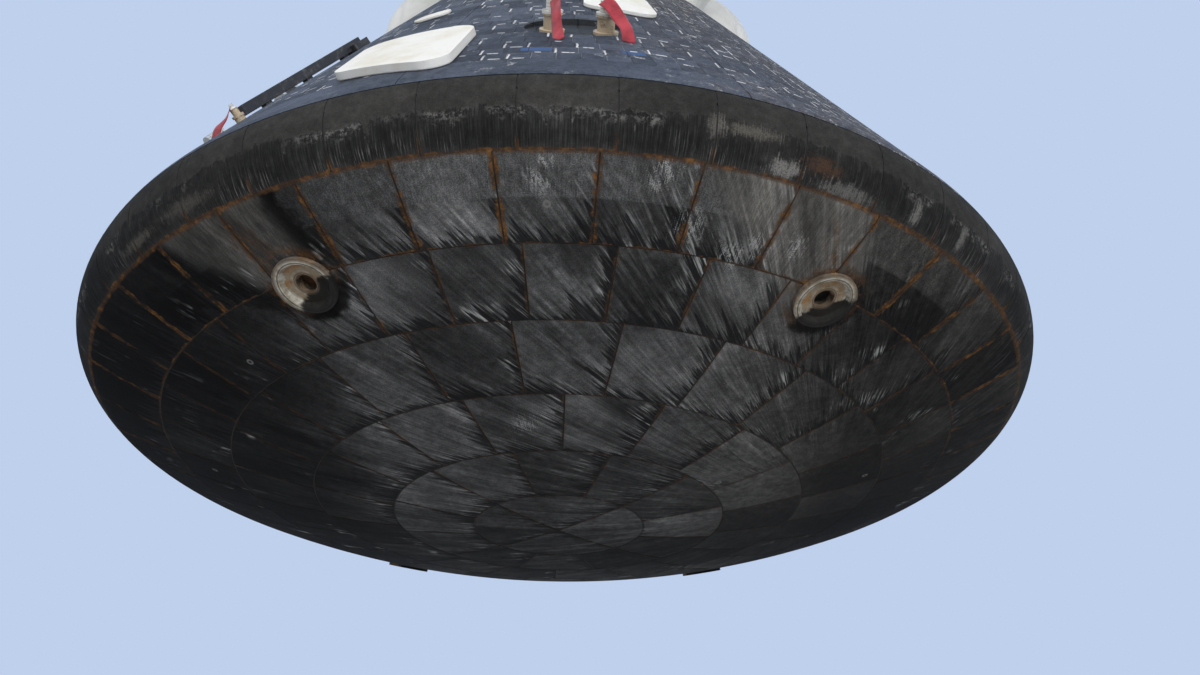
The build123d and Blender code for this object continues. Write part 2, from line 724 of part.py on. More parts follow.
# Ring on the wall's top edge, with upright lifting lugs
rim_top_height = wall_top_height + rim_ring_thickness
lug_width = 150
lug_rise = 90
lug_eye_radius = 50
lug_thickness = 44
with BuildPart() as rim_ring:
    with BuildSketch(Plane.XZ):
        with BuildLine():
            Polyline(
                (wall_inside(wall_top_height), wall_top_height),
                (cone_radius(wall_top_height), wall_top_height),
                (cone_radius(rim_top_height), rim_top_height),
                (wall_inside(wall_top_height), rim_top_height),
                close=True,
            )
        make_face()
    revolve(axis=Axis.Z)
    lug_ring_radius = (wall_inside(wall_top_height) + cone_radius(rim_top_height)) / 2
    for index in range(gusset_count):
        lug_turn = radians(gusset_first_azimuth + index * 360 / gusset_count)
        lug_plane = Plane(
            (lug_ring_radius * cos(lug_turn), lug_ring_radius * sin(lug_turn), rim_top_height),
            x_dir=(-sin(lug_turn), cos(lug_turn), 0),
            z_dir=(cos(lug_turn), sin(lug_turn), 0),
        )
        with BuildSketch(lug_plane):
            with Locations((0, -rim_ring_thickness / 2)):
                Rectangle(lug_width, rim_ring_thickness)
            with BuildLine():
                Polyline(
                    (-lug_width / 2, 0),
                    (lug_width / 2, 0),
                    (lug_eye_radius, lug_rise),
                    (-lug_eye_radius, lug_rise),
                    close=True,
                )
            make_face()
            with Locations((0, lug_rise)):
                Circle(lug_eye_radius)
                Circle(lug_hole_radius, mode=Mode.SUBTRACT)
        extrude(amount=lug_thickness / 2, both=True)
finish(rim_ring, "rim_ring")

# Gussets between the tunnel and the wall
with BuildPart() as gussets:
    for index in range(gusset_count):
        gusset_azimuth = gusset_first_azimuth + index * 360 / gusset_count
        gusset_turn = radians(gusset_azimuth)
        gusset_plane = Plane(
            (0, 0, 0),
            x_dir=(cos(gusset_turn), sin(gusset_turn), 0),
            z_dir=(sin(gusset_turn), -cos(gusset_turn), 0),
        )
        with BuildSketch(gusset_plane):
            with BuildLine():
                Polyline(
                    (tunnel_radius + bond_gap, bay_floor_height),
                    (wall_inside(bay_floor_height) - bond_gap, bay_floor_height),
                    (wall_inside(wall_top_height) - bond_gap, wall_top_height),
                    (wall_inside(wall_top_height) - bond_gap, rim_top_height),
                    (tunnel_radius + gusset_shelf, ring_foot_height - gusset_drop),
                    (tunnel_radius + bond_gap, ring_foot_height - gusset_drop),
                    close=True,
                )
            make_face()
            for hole_reach, hole_rise, hole_radius in gusset_holes:
                hole_run = tunnel_radius + hole_reach * (bay_radius - tunnel_radius)
                with Locations((hole_run, bay_floor_height + hole_rise * bay_depth)):
                    Circle(hole_radius, mode=Mode.SUBTRACT)
        extrude(amount=gusset_thickness / 2, both=True)
finish(gussets, "forward_gussets")

# Parachute mortars and bag canisters in the forward bay
bag_pitch = 360 / bag_count
with BuildPart() as mortars:
    for index, (azimuth_step, radius, height) in enumerate(mortar_table):
        mortar_turn = radians(bag_first_azimuth + index * bag_pitch + azimuth_step)
        with BuildSketch(Plane.XY.offset(bay_floor_height)):
            with Locations((bag_ring_radius * cos(mortar_turn), bag_ring_radius * sin(mortar_turn))):
                Circle(radius)
        extrude(amount=height, taper=mortar_taper)
finish(mortars, "parachute_mortars")
with BuildPart() as canisters:
    for index in range(bag_count):
        bag_turn = radians(bag_first_azimuth + index * bag_pitch)
        with BuildSketch(Plane.XY.offset(bay_floor_height)):
            with Locations((bag_ring_radius * cos(bag_turn), bag_ring_radius * sin(bag_turn))):
                Circle(canister_radius)
        extrude(amount=canister_height)
finish(canisters, "bag_canisters")

# Inflated bags: a ball drawn down to a neck on its canister
bag_foot_height = bay_floor_height + canister_height + bond_gap
bag_rise = bag_centre_height - bag_foot_height
bag_flank = asin((bag_radius - bag_neck_radius) / bag_rise)
bag_rows = 8
bag_section = [(0, -bag_rise), (bag_neck_radius, -bag_rise)]
for row in range(bag_rows):
    rise = -bag_flank + (radians(90) + bag_flank) * row / bag_rows
    bag_section.append((bag_radius * cos(rise), bag_radius * sin(rise)))
bag_section.append((0, bag_radius))
with BuildPart() as bag:
    with BuildSketch(Plane.XZ):
        with BuildLine():
            Polyline(*bag_section, close=True)
        make_face()
    revolve(axis=Axis.Z)
for index in range(bag_count):
    bag_turn = radians(bag_first_azimuth + index * bag_pitch)
    with BuildPart() as placed_bag:
        with Locations((bag_ring_radius * cos(bag_turn), bag_ring_radius * sin(bag_turn), bag_centre_height)):
            add(bag.part)
    finish(placed_bag, f"uprighting_bag_{index + 1}")

# Crew seats on the floor: place of the hip in x and y, side of the head
seat_table = ((-340, -560, -1), (340, -560, -1), (-340, 1060, 1), (340, 1060, 1))
seat_width = 470
seat_height = 330
leg_rest_length = 640
seat_leg_width = 40
seat_leg_length = 60
seat_leg_pitch = 560
seat_leg_spread = 330
seat_pan_height = floor_top_height + seat_height
# Side outline of a seat: from its hip towards the head, and up from its pan
seat_section = (
    (-leg_rest_length, 0),
    (60, 0),
    (180, 330),
    (500, 150),
    (540, 210),
    (150, 430),
    (10, 90),
    (-leg_rest_length, 90),
)
with BuildPart() as seats:
    for seat_x, seat_y, head in seat_table:
        with BuildSketch(Plane.YZ.offset(seat_x - seat_width / 2)):
            with BuildLine():
                outline = [(seat_y + head * along, seat_pan_height + up) for along, up in seat_section]
                Polyline(*outline, close=True)
            make_face()
        extrude(amount=seat_width)
        with BuildSketch(Plane.XY.offset(floor_top_height)):
            with Locations((seat_x, seat_y - head * seat_leg_pitch / 2)):
                with GridLocations(seat_leg_spread, seat_leg_pitch, 2, 2):
                    Rectangle(seat_leg_width, seat_leg_length)
        extrude(amount=seat_height)
finish(seats, "crew_seats")

# Instrument console hung from the bulkhead
console_width = 980
console_height = 270
console_depth = 60
console_lean = 100
console_drop = 100
console_y = -480
console_post_width = 48
console_post_spread = 686
with BuildPart() as console:
    with BuildSketch(Plane.YZ.offset(-console_width / 2)):
        with BuildLine():
            Polyline(
                (console_y, bulkhead_height - console_drop),
                (console_y - console_depth, bulkhead_height - console_drop),
                (console_y - console_depth - console_lean, bulkhead_height - console_drop - console_height),
                (console_y - console_lean, bulkhead_height - console_drop - console_height),
                close=True,
            )
        make_face()
    extrude(amount=console_width)
    with BuildSketch(Plane.XY.offset(bulkhead_height)):
        with Locations((0, console_y - console_depth / 2)):
            with GridLocations(console_post_spread, 0, 2, 1):
                Rectangle(console_post_width, console_post_width)
    extrude(amount=-console_drop - console_depth)
finish(console, "instrument_console")
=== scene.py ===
import bmesh
import bpy
import math
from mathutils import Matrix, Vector, noise


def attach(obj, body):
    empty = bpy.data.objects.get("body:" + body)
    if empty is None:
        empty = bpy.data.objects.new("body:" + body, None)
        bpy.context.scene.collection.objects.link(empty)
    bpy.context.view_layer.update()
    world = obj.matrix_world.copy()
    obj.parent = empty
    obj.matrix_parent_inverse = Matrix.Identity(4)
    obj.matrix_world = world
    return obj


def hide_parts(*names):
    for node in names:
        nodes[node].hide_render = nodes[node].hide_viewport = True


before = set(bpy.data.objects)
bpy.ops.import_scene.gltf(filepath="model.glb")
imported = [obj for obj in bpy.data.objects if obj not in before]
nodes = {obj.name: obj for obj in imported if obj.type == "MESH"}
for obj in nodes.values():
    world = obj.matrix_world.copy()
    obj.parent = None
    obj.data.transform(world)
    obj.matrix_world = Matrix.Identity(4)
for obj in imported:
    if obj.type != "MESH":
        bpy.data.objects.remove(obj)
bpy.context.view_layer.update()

# Studio camera: stands at floor level in front of the capsule and looks up at the heat shield.
# Its place, turn and lens come from a fit to the shield's seams and the wall's outline.
camera_place = (-0.0435, -4.9818, -1.8073)
camera_pitch = 31.166
camera_heading = 3.015
camera_lens = 29.19
sensor_width = 36
sight_limit = 200
camera_data = bpy.data.cameras.new("studio_camera")
camera_data.lens = camera_lens
camera_data.sensor_width = sensor_width
camera_data.clip_end = sight_limit
camera = bpy.data.objects.new("studio_camera", camera_data)
camera.location = camera_place
camera.rotation_euler = (math.radians(90 + camera_pitch), 0, math.radians(-camera_heading))
bpy.context.scene.collection.objects.link(camera)
bpy.context.scene.camera = camera
bpy.context.scene.view_settings.view_transform = "Standard"

# Studio floor: a wide matt slab, well below the hanging capsule.
# It is no part of the capsule.


class Wire:
    """A socket of a node tree that takes part in plain arithmetic."""

    def __init__(self, tree, socket):
        self.tree = tree
        self.socket = socket

    def node(self, kind, settings=(), inputs=(), out=0):
        """Add any node: its settings first, then the values or wires of its inputs."""
        made = self.tree.nodes.new(kind)
        for name, value in dict(settings).items():
            setattr(made, name, value)
        for name, value in dict(inputs).items():
            if isinstance(value, Wire):
                self.tree.links.new(value.socket, made.inputs[name])
            else:
                made.inputs[name].default_value = value
        return Wire(self.tree, made.outputs[out])

    def maths(self, operation, *values):
        places = {index: value for index, value in enumerate((self, *values))}
        return self.node("ShaderNodeMath", {"operation": operation}, places)

    def __add__(self, other):
        return self.maths("ADD", other)

    __radd__ = __add__

    def __mul__(self, other):
        return self.maths("MULTIPLY", other)

    __rmul__ = __mul__

    def __sub__(self, other):
        return self.maths("SUBTRACT", other)

    def __rsub__(self, other):
        return self.node("ShaderNodeMath", {"operation": "SUBTRACT"}, {0: other, 1: self})

    def __truediv__(self, other):
        return self.maths("DIVIDE", other)

    def __pow__(self, other):
        return self.maths("POWER", other)

    def __neg__(self):
        return self * -1

    def abs(self):
        return self.maths("ABSOLUTE")

    def floor(self):
        return self.maths("FLOOR")

    def part(self):
        """The part after the whole number."""
        return self.maths("FRACT")

    def least(self, other):
        return self.maths("MINIMUM", other)

    def most(self, other):
        return self.maths("MAXIMUM", other)

    def above(self, other):
        return self.maths("GREATER_THAN", other)

    def span(self, other):
        """Straight length of a way with these two legs."""
        return (self * self + other * other) ** 0.5

    def ease(self, low, high):
        """0 below low, 1 above high and smooth between; low may lie above high."""
        if isinstance(low, float) and isinstance(high, float) and low > high:
            return 1 - self.ease(high, low)
        limits = {"Value": self, "From Min": low, "From Max": high}
        return self.node("ShaderNodeMapRange", {"interpolation_type": "SMOOTHSTEP"}, limits)

    def vector(self, y=0.0, z=0.0):
        return self.node("ShaderNodeCombineXYZ", (), {0: self, 1: y, 2: z})

    def speckle(self, scale=1.0, detail=3.0, roughness=0.55, distortion=0.0):
        """Cloudy noise read at this vector."""
        cloudy = {"Scale": scale, "Detail": detail, "Roughness": roughness, "Distortion": distortion}
        return self.node("ShaderNodeTexNoise", (), {"Vector": self, **cloudy})

    def chance(self):
        """One random value for each whole cell of this vector."""
        return self.node("ShaderNodeTexWhiteNoise", {"noise_dimensions": "3D"}, {"Vector": self})

    def tint(self, low, high):
        """Colour that goes from low to high with this value."""
        low, high = (end if isinstance(end, Wire) else (*end, 1) for end in (low, high))
        # In a mix of colours the factor is socket 0, the two colours are 6 and 7, and the result is 2
        return self.node("ShaderNodeMix", {"data_type": "RGBA"}, {0: self, 6: low, 7: high}, out=2)


class Finish:
    """A material in the making, with the piece's own coordinates at hand."""

    def __init__(self, name):
        self.material = bpy.data.materials.new(name)
        self.material.use_nodes = True
        self.tree = self.material.node_tree
        self.shader = self.tree.nodes["Principled BSDF"]
        place = self.tree.nodes.new("ShaderNodeTexCoord")
        self.place = Wire(self.tree, place.outputs["Object"])
        split = self.tree.nodes.new("ShaderNodeSeparateXYZ")
        self.tree.links.new(place.outputs["Object"], split.inputs[0])
        self.x, self.y, self.z = (Wire(self.tree, socket) for socket in split.outputs)

    def radius(self):
        """Way from the capsule's axis."""
        return self.x.span(self.y)

    def way_from(self, x, y):
        """Way from a place, in plan."""
        return (self.x - x).span(self.y - y)

    def along(self, x, y, z):
        """Vector of three values or wires, to read a pattern at."""
        return self.x.node("ShaderNodeCombineXYZ", (), {0: x, 1: y, 2: z})

    def azimuth(self):
        """Degrees about the capsule's axis from +X."""
        return self.y.maths("ARCTAN2", self.x) * (180 / math.pi)

    def set(self, colour=None, bump=None, bump_height=0.002, **values):
        """Link or set the shader's sockets and give back the material."""
        inputs = self.shader.inputs
        if colour is not None:
            values["Base Color"] = colour
        for name, value in values.items():
            socket = inputs[name.replace("_", " ")]
            if isinstance(value, Wire):
                self.tree.links.new(value.socket, socket)
            elif socket.type == "RGBA":
                socket.default_value = (*value, 1)
            else:
                socket.default_value = value
        if bump is not None:
            relief = {"Height": bump, "Distance": bump_height, "Strength": 1.0}
            raised = bump.node("ShaderNodeBump", (), relief)
            self.tree.links.new(raised.socket, inputs["Normal"])
        return self.material


floor_level = -1.85
floor_reach = 30
floor_grey = (0.72, 0.74, 0.77)
floor_mesh = bpy.data.meshes.new("studio_floor")
sides = ((-1, -1), (1, -1), (1, 1), (-1, 1))
corners = [(side_x * floor_reach, side_y * floor_reach, floor_level) for side_x, side_y in sides]
floor_mesh.from_pydata(corners, [], [(0, 1, 2, 3)])
floor_finish = Finish("studio_floor")
floor_mesh.materials.append(floor_finish.set(floor_grey, Roughness=0.9))
floor = bpy.data.objects.new("studio_floor", floor_mesh)
bpy.context.scene.collection.objects.link(floor)

# World: a pale blue backdrop for the camera and for glossy and see-through rays,
# and a soft even fill for all other light.
backdrop_colour = (0.52, 0.63, 0.84)
backdrop_strength = 1.0
fill_colour = (0.93, 0.96, 1.0)
fill_strength = 0.5
world = bpy.data.worlds.new("studio_world")
bpy.context.scene.world = world
world.use_nodes = True
world_tree = world.node_tree
world_tree.nodes.clear()
rays = world_tree.nodes.new("ShaderNodeLightPath")
seen = Wire(world_tree, rays.outputs["Is Camera Ray"])
seen = seen.most(Wire(world_tree, rays.outputs["Is Glossy Ray"]))
seen = seen.most(Wire(world_tree, rays.outputs["Is Transmission Ray"]))
fill_light = {"Color": (*fill_colour, 1), "Strength": fill_strength}
backdrop_light = {"Color": (*backdrop_colour, 1), "Strength": backdrop_strength}
fill = seen.node("ShaderNodeBackground", (), fill_light)
backdrop = seen.node("ShaderNodeBackground", (), backdrop_light)
chosen = seen.node("ShaderNodeMixShader", (), {0: seen, 1: fill, 2: backdrop})
world_out = world_tree.nodes.new("ShaderNodeOutputWorld")
world_tree.links.new(chosen.socket, world_out.inputs["Surface"])

# Lamps: three large soft boxes, one before the capsule, one low down and far off for the underside,
# and one behind. Columns: name, place, aim, width, height, power, colour.
lamp_table = (
    ("key", (-5.5, -9.5, 7.5), (0, 0, 1.6), 6.0, 6.0, 500, (1.0, 0.98, 0.95)),
    ("horizon", (3.8, -14.0, 0.0), (0, 0, 0.0), 10.0, 2.8, 1120, (0.99, 0.985, 0.98)),
    ("back", (4.0, 10.0, 8.0), (0, 0, 2.0), 6.0, 6.0, 500, (1.0, 0.97, 0.93)),
)
for lamp_name, lamp_place, lamp_aim, lamp_width, lamp_height, lamp_power, lamp_colour in lamp_table:
    aim = Vector(lamp_aim) - Vector(lamp_place)
    lamp_data = bpy.data.lights.new(lamp_name, "AREA")
    lamp_data.shape = "RECTANGLE"
    lamp_data.size, lamp_data.size_y = lamp_width, lamp_height
    lamp_data.energy = lamp_power
    lamp_data.color = lamp_colour
    lamp = bpy.data.objects.new(lamp_name, lamp_data)
    lamp.location = lamp_place
    lamp.rotation_euler = aim.to_track_quat("-Z", "Y").to_euler()
    bpy.context.scene.collection.objects.link(lamp)

# Heat shield: blocks of ablator bonded edge to edge on a carrier dish, charred by the hot gas.
# The char is drawn out in streaks that run away from the place where the flow met the shield,
# and each seam sheds a comb of dark strokes on the side that the gas flowed to.
dish_radius = 6.035
shoulder_radius = 0.2515
edge_ring = 2.2635
edge_height = 0.71283
joint_ring = 2.412
edge_slope = math.asin(edge_ring / (dish_radius - shoulder_radius))
joint_slope = math.asin((joint_ring - edge_ring) / shoulder_radius)
shoulder_end_slope = math.radians(105)
flow_centre = (1.4, -0.1)
# Columns: node, inner and outer radius, blocks, azimuth of one seam, rust on its seams
ring_table = (
    ("ablator_centre", 0.0, 0.449, 4, -45, 0.35),
    ("ablator_ring_2", 0.449, 0.873, 12, -45, 0.35),
    ("ablator_ring_3", 0.873, 1.290, 18, -90, 0.25),
    ("ablator_ring_4", 1.290, 1.712, 24, -82.5, 0.25),
    ("ablator_ring_5", 1.712, 2.065, 36, -85, 0.3),
    ("ablator_ring_6", 2.065, joint_ring, 40, -87.8, 1.0),
    ("ablator_shoulder", joint_ring, 2.560, 44, -86.5, 0.8),
)
char_level = 0.049
natural_stop = 0.6931
char_grey = (1.0, 0.995, 0.985)
char_brown = (1.0, 0.955, 0.88)
stroke_black = (0.009, 0.009, 0.0095)
salt_white = (0.36, 0.36, 0.35)
salt_grey = (0.22, 0.215, 0.205)
rust_bright = (0.19, 0.088, 0.023)
rust_deep = (0.045, 0.024, 0.013)
# Scuffs where the coat came off: azimuth, height along the section, half width, half height, colour
shoulder_scuffs = (
    (-75.2, 0.145, 3.0, 0.030, (0.125, 0.115, 0.098)),
    (-78.3, 0.140, 0.9, 0.055, (0.125, 0.118, 0.105)),
    (-68.2, 0.090, 2.0, 0.040, (0.085, 0.046, 0.026)),
    (-71.8, 0.045, 1.8, 0.040, (0.26, 0.25, 0.235)),
    (-65.0, 0.030, 3.4, 0.035, (0.16, 0.155, 0.145)),
    (-57.0, 0.070, 0.7, 0.055, (0.20, 0.195, 0.185)),
    (-50.0, 0.090, 0.6, 0.060, (0.17, 0.165, 0.155)),
    (-127.0, 0.070, 4.0, 0.035, (0.085, 0.078, 0.068)),
    (-135.0, 0.060, 3.0, 0.025, (0.10, 0.092, 0.08)),
)
# Patches of the face that stayed lighter or burned darker: x, y, radius, change in stops
tone_patches = (
    (0.28, -1.88, 0.24, -0.9), (0.02, -1.10, 0.26, 0.9), (0.45, -1.50, 0.28, 0.5), (-0.72, -1.78, 0.22, 1.0),
    (0.02, -2.02, 0.14, -0.5), (0.70, -1.85, 0.22, 0.7), (-0.35, -1.85, 0.18, 0.5), (1.35, -1.55, 0.30, -0.6),
)
# Bursts of salt: x, y, radius; and the middle of the wettest part of the outer rings
salt_bursts = (
    (-0.127, -2.30, 0.07), (0.337, -2.352, 0.06), (0.439, -2.141, 0.10), (0.608, -2.008, 0.09),
    (0.72, -2.03, 0.08), (-0.17, -1.07, 0.10), (0.30, -2.30, 0.05), (0.86, -2.02, 0.07), (-0.10, -2.37, 0.04),
)
wettest_spot = (0.42, -2.15)
# Round plugs that close old bolt holes: x, y
plug_marks = ((-0.09, -2.219), (-1.368, -1.236), (-1.858, -0.028), (0.78, -0.52), (1.60, -0.30))
plug_mark_radius = 0.011
plug_mark_grey = (0.17, 0.165, 0.155)
pad_across, pad_along = 1.0334, 1.7543
pad_outer_radius = 0.135
pad_zone_radius = 1.5
crescent_radius = 0.19
petal_radius = 0.36
frost_width = 0.165
soot_height = 0.160


def dress(material, *names):
    """Give CAD nodes a material."""
    for name in names:
        mesh = nodes[name].data
        mesh.materials.clear()
        mesh.materials.append(material)


def pad_offset(finish):
    """Way from the middle of the nearest pad, in plan."""
    return finish.x - finish.x.maths("SIGN") * pad_across, finish.y - finish.y.maths("SIGN") * pad_along


def rust_tint(finish):
    """Rust that is bright where it dried thick and deep brown elsewhere."""
    return finish.place.speckle(22.0, 6.0, 0.8).ease(0.44, 0.72).tint(rust_deep, rust_bright)


def drawn(flow, fineness, stretch, shift, detail=3.0, roughness=0.6):
    """Noise drawn out along the flow, which is given by its two parts and the run from its centre."""
    part_x, part_y, run = flow
    place = {0: part_x * fineness, 1: part_y * fineness, 2: run * stretch + shift}
    return run.node("ShaderNodeCombineXYZ", (), place).speckle(1.0, detail, roughness)


for ring_index, (ring_node, inner, outer, count, seam_azimuth, rust_share) in enumerate(ring_table):
    char = Finish(ring_node + "_char")
    radius = char.radius()
    azimuth = char.azimuth()
    pitch = 360 / count
    turn = (azimuth - seam_azimuth + 720) / pitch
    across = turn.part()
    block_tone = turn.floor().vector(float(ring_index), 0.5).chance()
    offset = block_tone * 9.0
    # Flow at this place, and how far upstream the nearest seam lies
    flow_x, flow_y = char.x - flow_centre[0], char.y - flow_centre[1]
    flow_run = flow_x.span(flow_y) + 0.05
    flow_x, flow_y = flow_x / flow_run, flow_y / flow_run
    sideways = (flow_y * char.x - flow_x * char.y) / (radius + 0.01)
    outwards = (flow_x * char.x + flow_y * char.y) / (radius + 0.01)
    from_low = across * radius * math.radians(pitch)
    from_high = (1 - across) * radius * math.radians(pitch)
    turned = sideways.above(0.0)
    side_gap = (from_low * turned + from_high * (1 - turned)) / (sideways.abs() + 0.10)
    inner_gap = radius - inner
    outer_gap = outer - radius
    seam_gap = from_low.least(from_high)
    reach = side_gap.least(inner_gap / (outwards.most(0.0) + 0.12))
    streaked = flow_run.ease(0.35, 1.1)
    # Streaks and hairs along the flow
    flow = (flow_x, flow_y, flow_run)
    broad = drawn(flow, 20, 1.7, offset)
    hair = drawn(flow, 150, 4.5, offset)
    comb = drawn(flow, 200, 2.8, offset, 2.0, 0.55)
    slash = drawn(flow, 100, 2.0, offset, 1.0, 0.5)
    length = drawn(flow, 22, 1.5, offset * 3, 2.0, 0.5)
    grain = char.place.speckle(230.0, 3.0, 0.75)
    mottle = char.place.speckle(26.0, 4.0, 0.65)
    cloud = char.place.speckle(2.6, 3.0, 0.55)
    upright = char.along(azimuth * 7.5, radius * 14, char.z * 14).speckle(1.0, 3.0, 0.65)
    comb_zone = reach.ease(0.18, 0.02) * streaked
    fade = reach * (6.6 - length * 8.2)
    strokes = (comb - 0.45 - fade).ease(-0.03, 0.04).most((slash - 0.50 - fade).ease(-0.03, 0.04)) * streaked
    # Brightness of the char, counted in stops
    stops = (cloud - 0.5) * 2.6 + (mottle - 0.5) * 2.6 + (grain - 0.5) * 4.2 + (block_tone - 0.5) * 1.7 + 0.14
    hairs = (hair - 0.5) * (comb_zone * 5.5 + 3.2)
    stops = stops + ((broad - 0.5) * 4.6 + hairs) * (length * 2.4 - 0.35).most(0.1) * streaked
    # Painted shade: the char is made darker towards the left and right ends of the shield and towards its far
    # side (+y), where less light falls on it.
    stops = stops - (-char.x).ease(0.7, 1.6) * 3.3 - char.x.ease(0.75, 1.7) * 1.75
    stops = stops - char.y.ease(-0.5, 0.6) * 1.25
    for patch_x, patch_y, patch_size, patch_stops in tone_patches:
        near = char.way_from(patch_x, patch_y) + (mottle - 0.5) * 0.2
        stops = stops + near.ease(patch_size, patch_size * 0.4) * patch_stops
    warm = char.x.ease(0.3, 1.4) * 0.8
    pad_x, pad_y = pad_offset(char)
    pad_away = pad_x.span(pad_y)
    if inner > pad_zone_radius:
        # Smooth brown fan on the lee side of each pad, and a charred crescent on the other
        lee = pad_x * flow_x + pad_y * flow_y
        beside = (pad_x * flow_y - pad_y * flow_x).abs() + (mottle - 0.5) * 0.05
        fan = (beside - lee * 0.22).ease(0.17, 0.10) * lee.ease(0.0, 0.12) * lee.ease(0.95, 0.55)
        swerve = lee * 0.30 + 0.15 + (cloud - 0.5) * 0.25
        band = (beside - swerve).abs().ease(0.07, 0.02) * lee.ease(-0.05, 0.1) * lee.ease(0.7, 0.4)
        band = band * (char.x.ease(0.1, -0.1) * 0.75 + 0.15)
        soft = drawn(flow, 34, 1.2, 0.0, 4.0, 0.6)
        bleached = char.x.ease(0.2, -0.2) * 1.1 + 1.1
        fan_stops = (soft - 0.5) * 5.0 + (upright - 0.5) * 2.5 + bleached
        stops = stops * (1 - fan * 0.5) + fan * fan_stops - band * 1.5
        strokes = strokes * (1 - fan)
        warm = warm.most(fan)
        crescent = (pad_away + (mottle - 0.5) * 0.05).ease(crescent_radius, 0.155) * lee.ease(-0.03, -0.10)
        stops = stops - crescent * 2.6
        petals = (pad_away + (mottle - 0.5) * 0.08).ease(petal_radius, 0.24) * lee.ease(0.10, -0.05)
        petals = petals * (-char.x).ease(-0.2, 0.2)
        stops = stops + petals * (1 - crescent) * 0.9
    if ring_node == "ablator_ring_6":
        # Frosted outer half with an upright grain, on the blocks that point forwards
        frost = (outer_gap + (mottle - 0.5) * 0.02).ease(frost_width + 0.005, frost_width - 0.005)
        frost = frost * (-char.y).ease(1.2, 2.0) * (1 - fan) * (1 - band)
        frosted = 0.62 + (upright - 0.5) * 2.2 + (grain - 0.5) * 3.8 + (mottle - 0.5) * 1.6
        # Painted shade: this ring is also made darker towards the left (-x).
        stops = stops * (1 - frost * 0.6) + frost * frosted - (-char.x).ease(0.35, 0.75) * 0.8
        strokes = strokes * (1 - frost * 0.8)
    if ring_node == "ablator_shoulder":
        # Soot in upright flames up to a ragged border, and a matt brown coat above it
        slope = (radius - edge_ring).maths("ARCTAN2", edge_height - char.z)
        rise = (slope - joint_slope) * shoulder_radius
        wide = (azimuth * 0.16).vector(0.3, 0.0).speckle(1.0, 5.0, 0.6)
        ragged = char.along(azimuth * 1.3, rise * 30, 0.0).speckle(1.0, 6.0, 0.8)
        drips = char.along(azimuth * 1.5, 0.0, rise * 3).speckle(1.0, 3.0, 0.65)
        border = rise - soot_height + (wide - 0.5) * 0.15 + (ragged - 0.5) * 0.09
        border = border + drips.ease(0.56, 0.70) * 0.06
        above = border.ease(-0.002, 0.004)
        stripe = char.along(azimuth * 8.0, rise * 7, 0.0).speckle(1.0, 4.0, 0.7)
        soot = (stripe - 0.5) * 5.5 + (cloud - 0.5) * 2.4 + (mottle - 0.5) * 2.2 - 1.65
        soot = soot + rise.ease(0.05, 0.0) * 0.7
        matt = (mottle - 0.5) * 2.2 + (cloud - 0.5) * 2.2 + (grain - 0.5) * 2.4 - 0.75
        # Painted shade: the shoulder is made darker towards the left (-x).
        stops = soot * (1 - above) + matt * above - (-char.x).ease(1.1, 2.2) * 0.7
        warm = above * 0.55 + 0.1
        strokes = above * 0.0
    light = (stops * natural_stop).maths("EXPONENT") * char_level
    colour = light.tint((0, 0, 0), warm.tint(char_grey, char_brown))
    colour = (strokes * 0.88).tint(colour, stroke_black)
    # White salt left by drying sea water
    wet = char.place.speckle(5.0, 3.0, 0.6)
    if ring_node == "ablator_shoulder":
        fringe = border.ease(-0.05, 0.0) * border.ease(0.016, 0.0)
        fringe = fringe * wide.ease(0.46, 0.62) * ragged.ease(0.47, 0.58)
        runs = stripe.ease(0.55, 0.68) * wet.ease(0.46, 0.60) * rise.ease(0.13, 0.0)
        colour = (fringe * 0.5).most(runs * 0.7).tint(colour, salt_grey)
        for scuff_azimuth, scuff_rise, scuff_width, scuff_height, scuff_colour in shoulder_scuffs:
            off_x, off_y = (azimuth - scuff_azimuth) / scuff_width, (rise - scuff_rise) / scuff_height
            away = off_x.span(off_y) + (ragged - 0.5) * 2.6 + (stripe - 0.5) * 3.2
            colour = (away.ease(1.15, 0.3) * grain.ease(0.30, 0.52) * 0.62).tint(colour, scuff_colour)
    else:
        salted = wet.ease(0.56, 0.68)
        if inner > pad_zone_radius:
            wettest = (char.way_from(*wettest_spot) ** 2).ease(0.22, 0.02)
            salted = salted.most(wettest * wet.ease(0.40, 0.50))
        salt = hair.ease(0.50, 0.64) * salted * (comb_zone * 0.9 + 0.1) * (1 - strokes)
        for burst_x, burst_y, burst_size in salt_bursts:
            near = char.way_from(burst_x, burst_y) + (mottle - 0.5) * 0.16
            burst = near.ease(burst_size, burst_size * 0.1) * (hair * 0.5 + upright * 0.5).ease(0.47, 0.54)
            salt = salt.most(burst * grain.ease(0.40, 0.54))
        colour = (salt * 0.85).tint(colour, salt_white)
        for mark_x, mark_y in plug_marks:
            rim_line = (char.way_from(mark_x, mark_y) - plug_mark_radius).abs().ease(0.006, 0.003)
            colour = (rim_line * 0.7).tint(colour, plug_mark_grey)
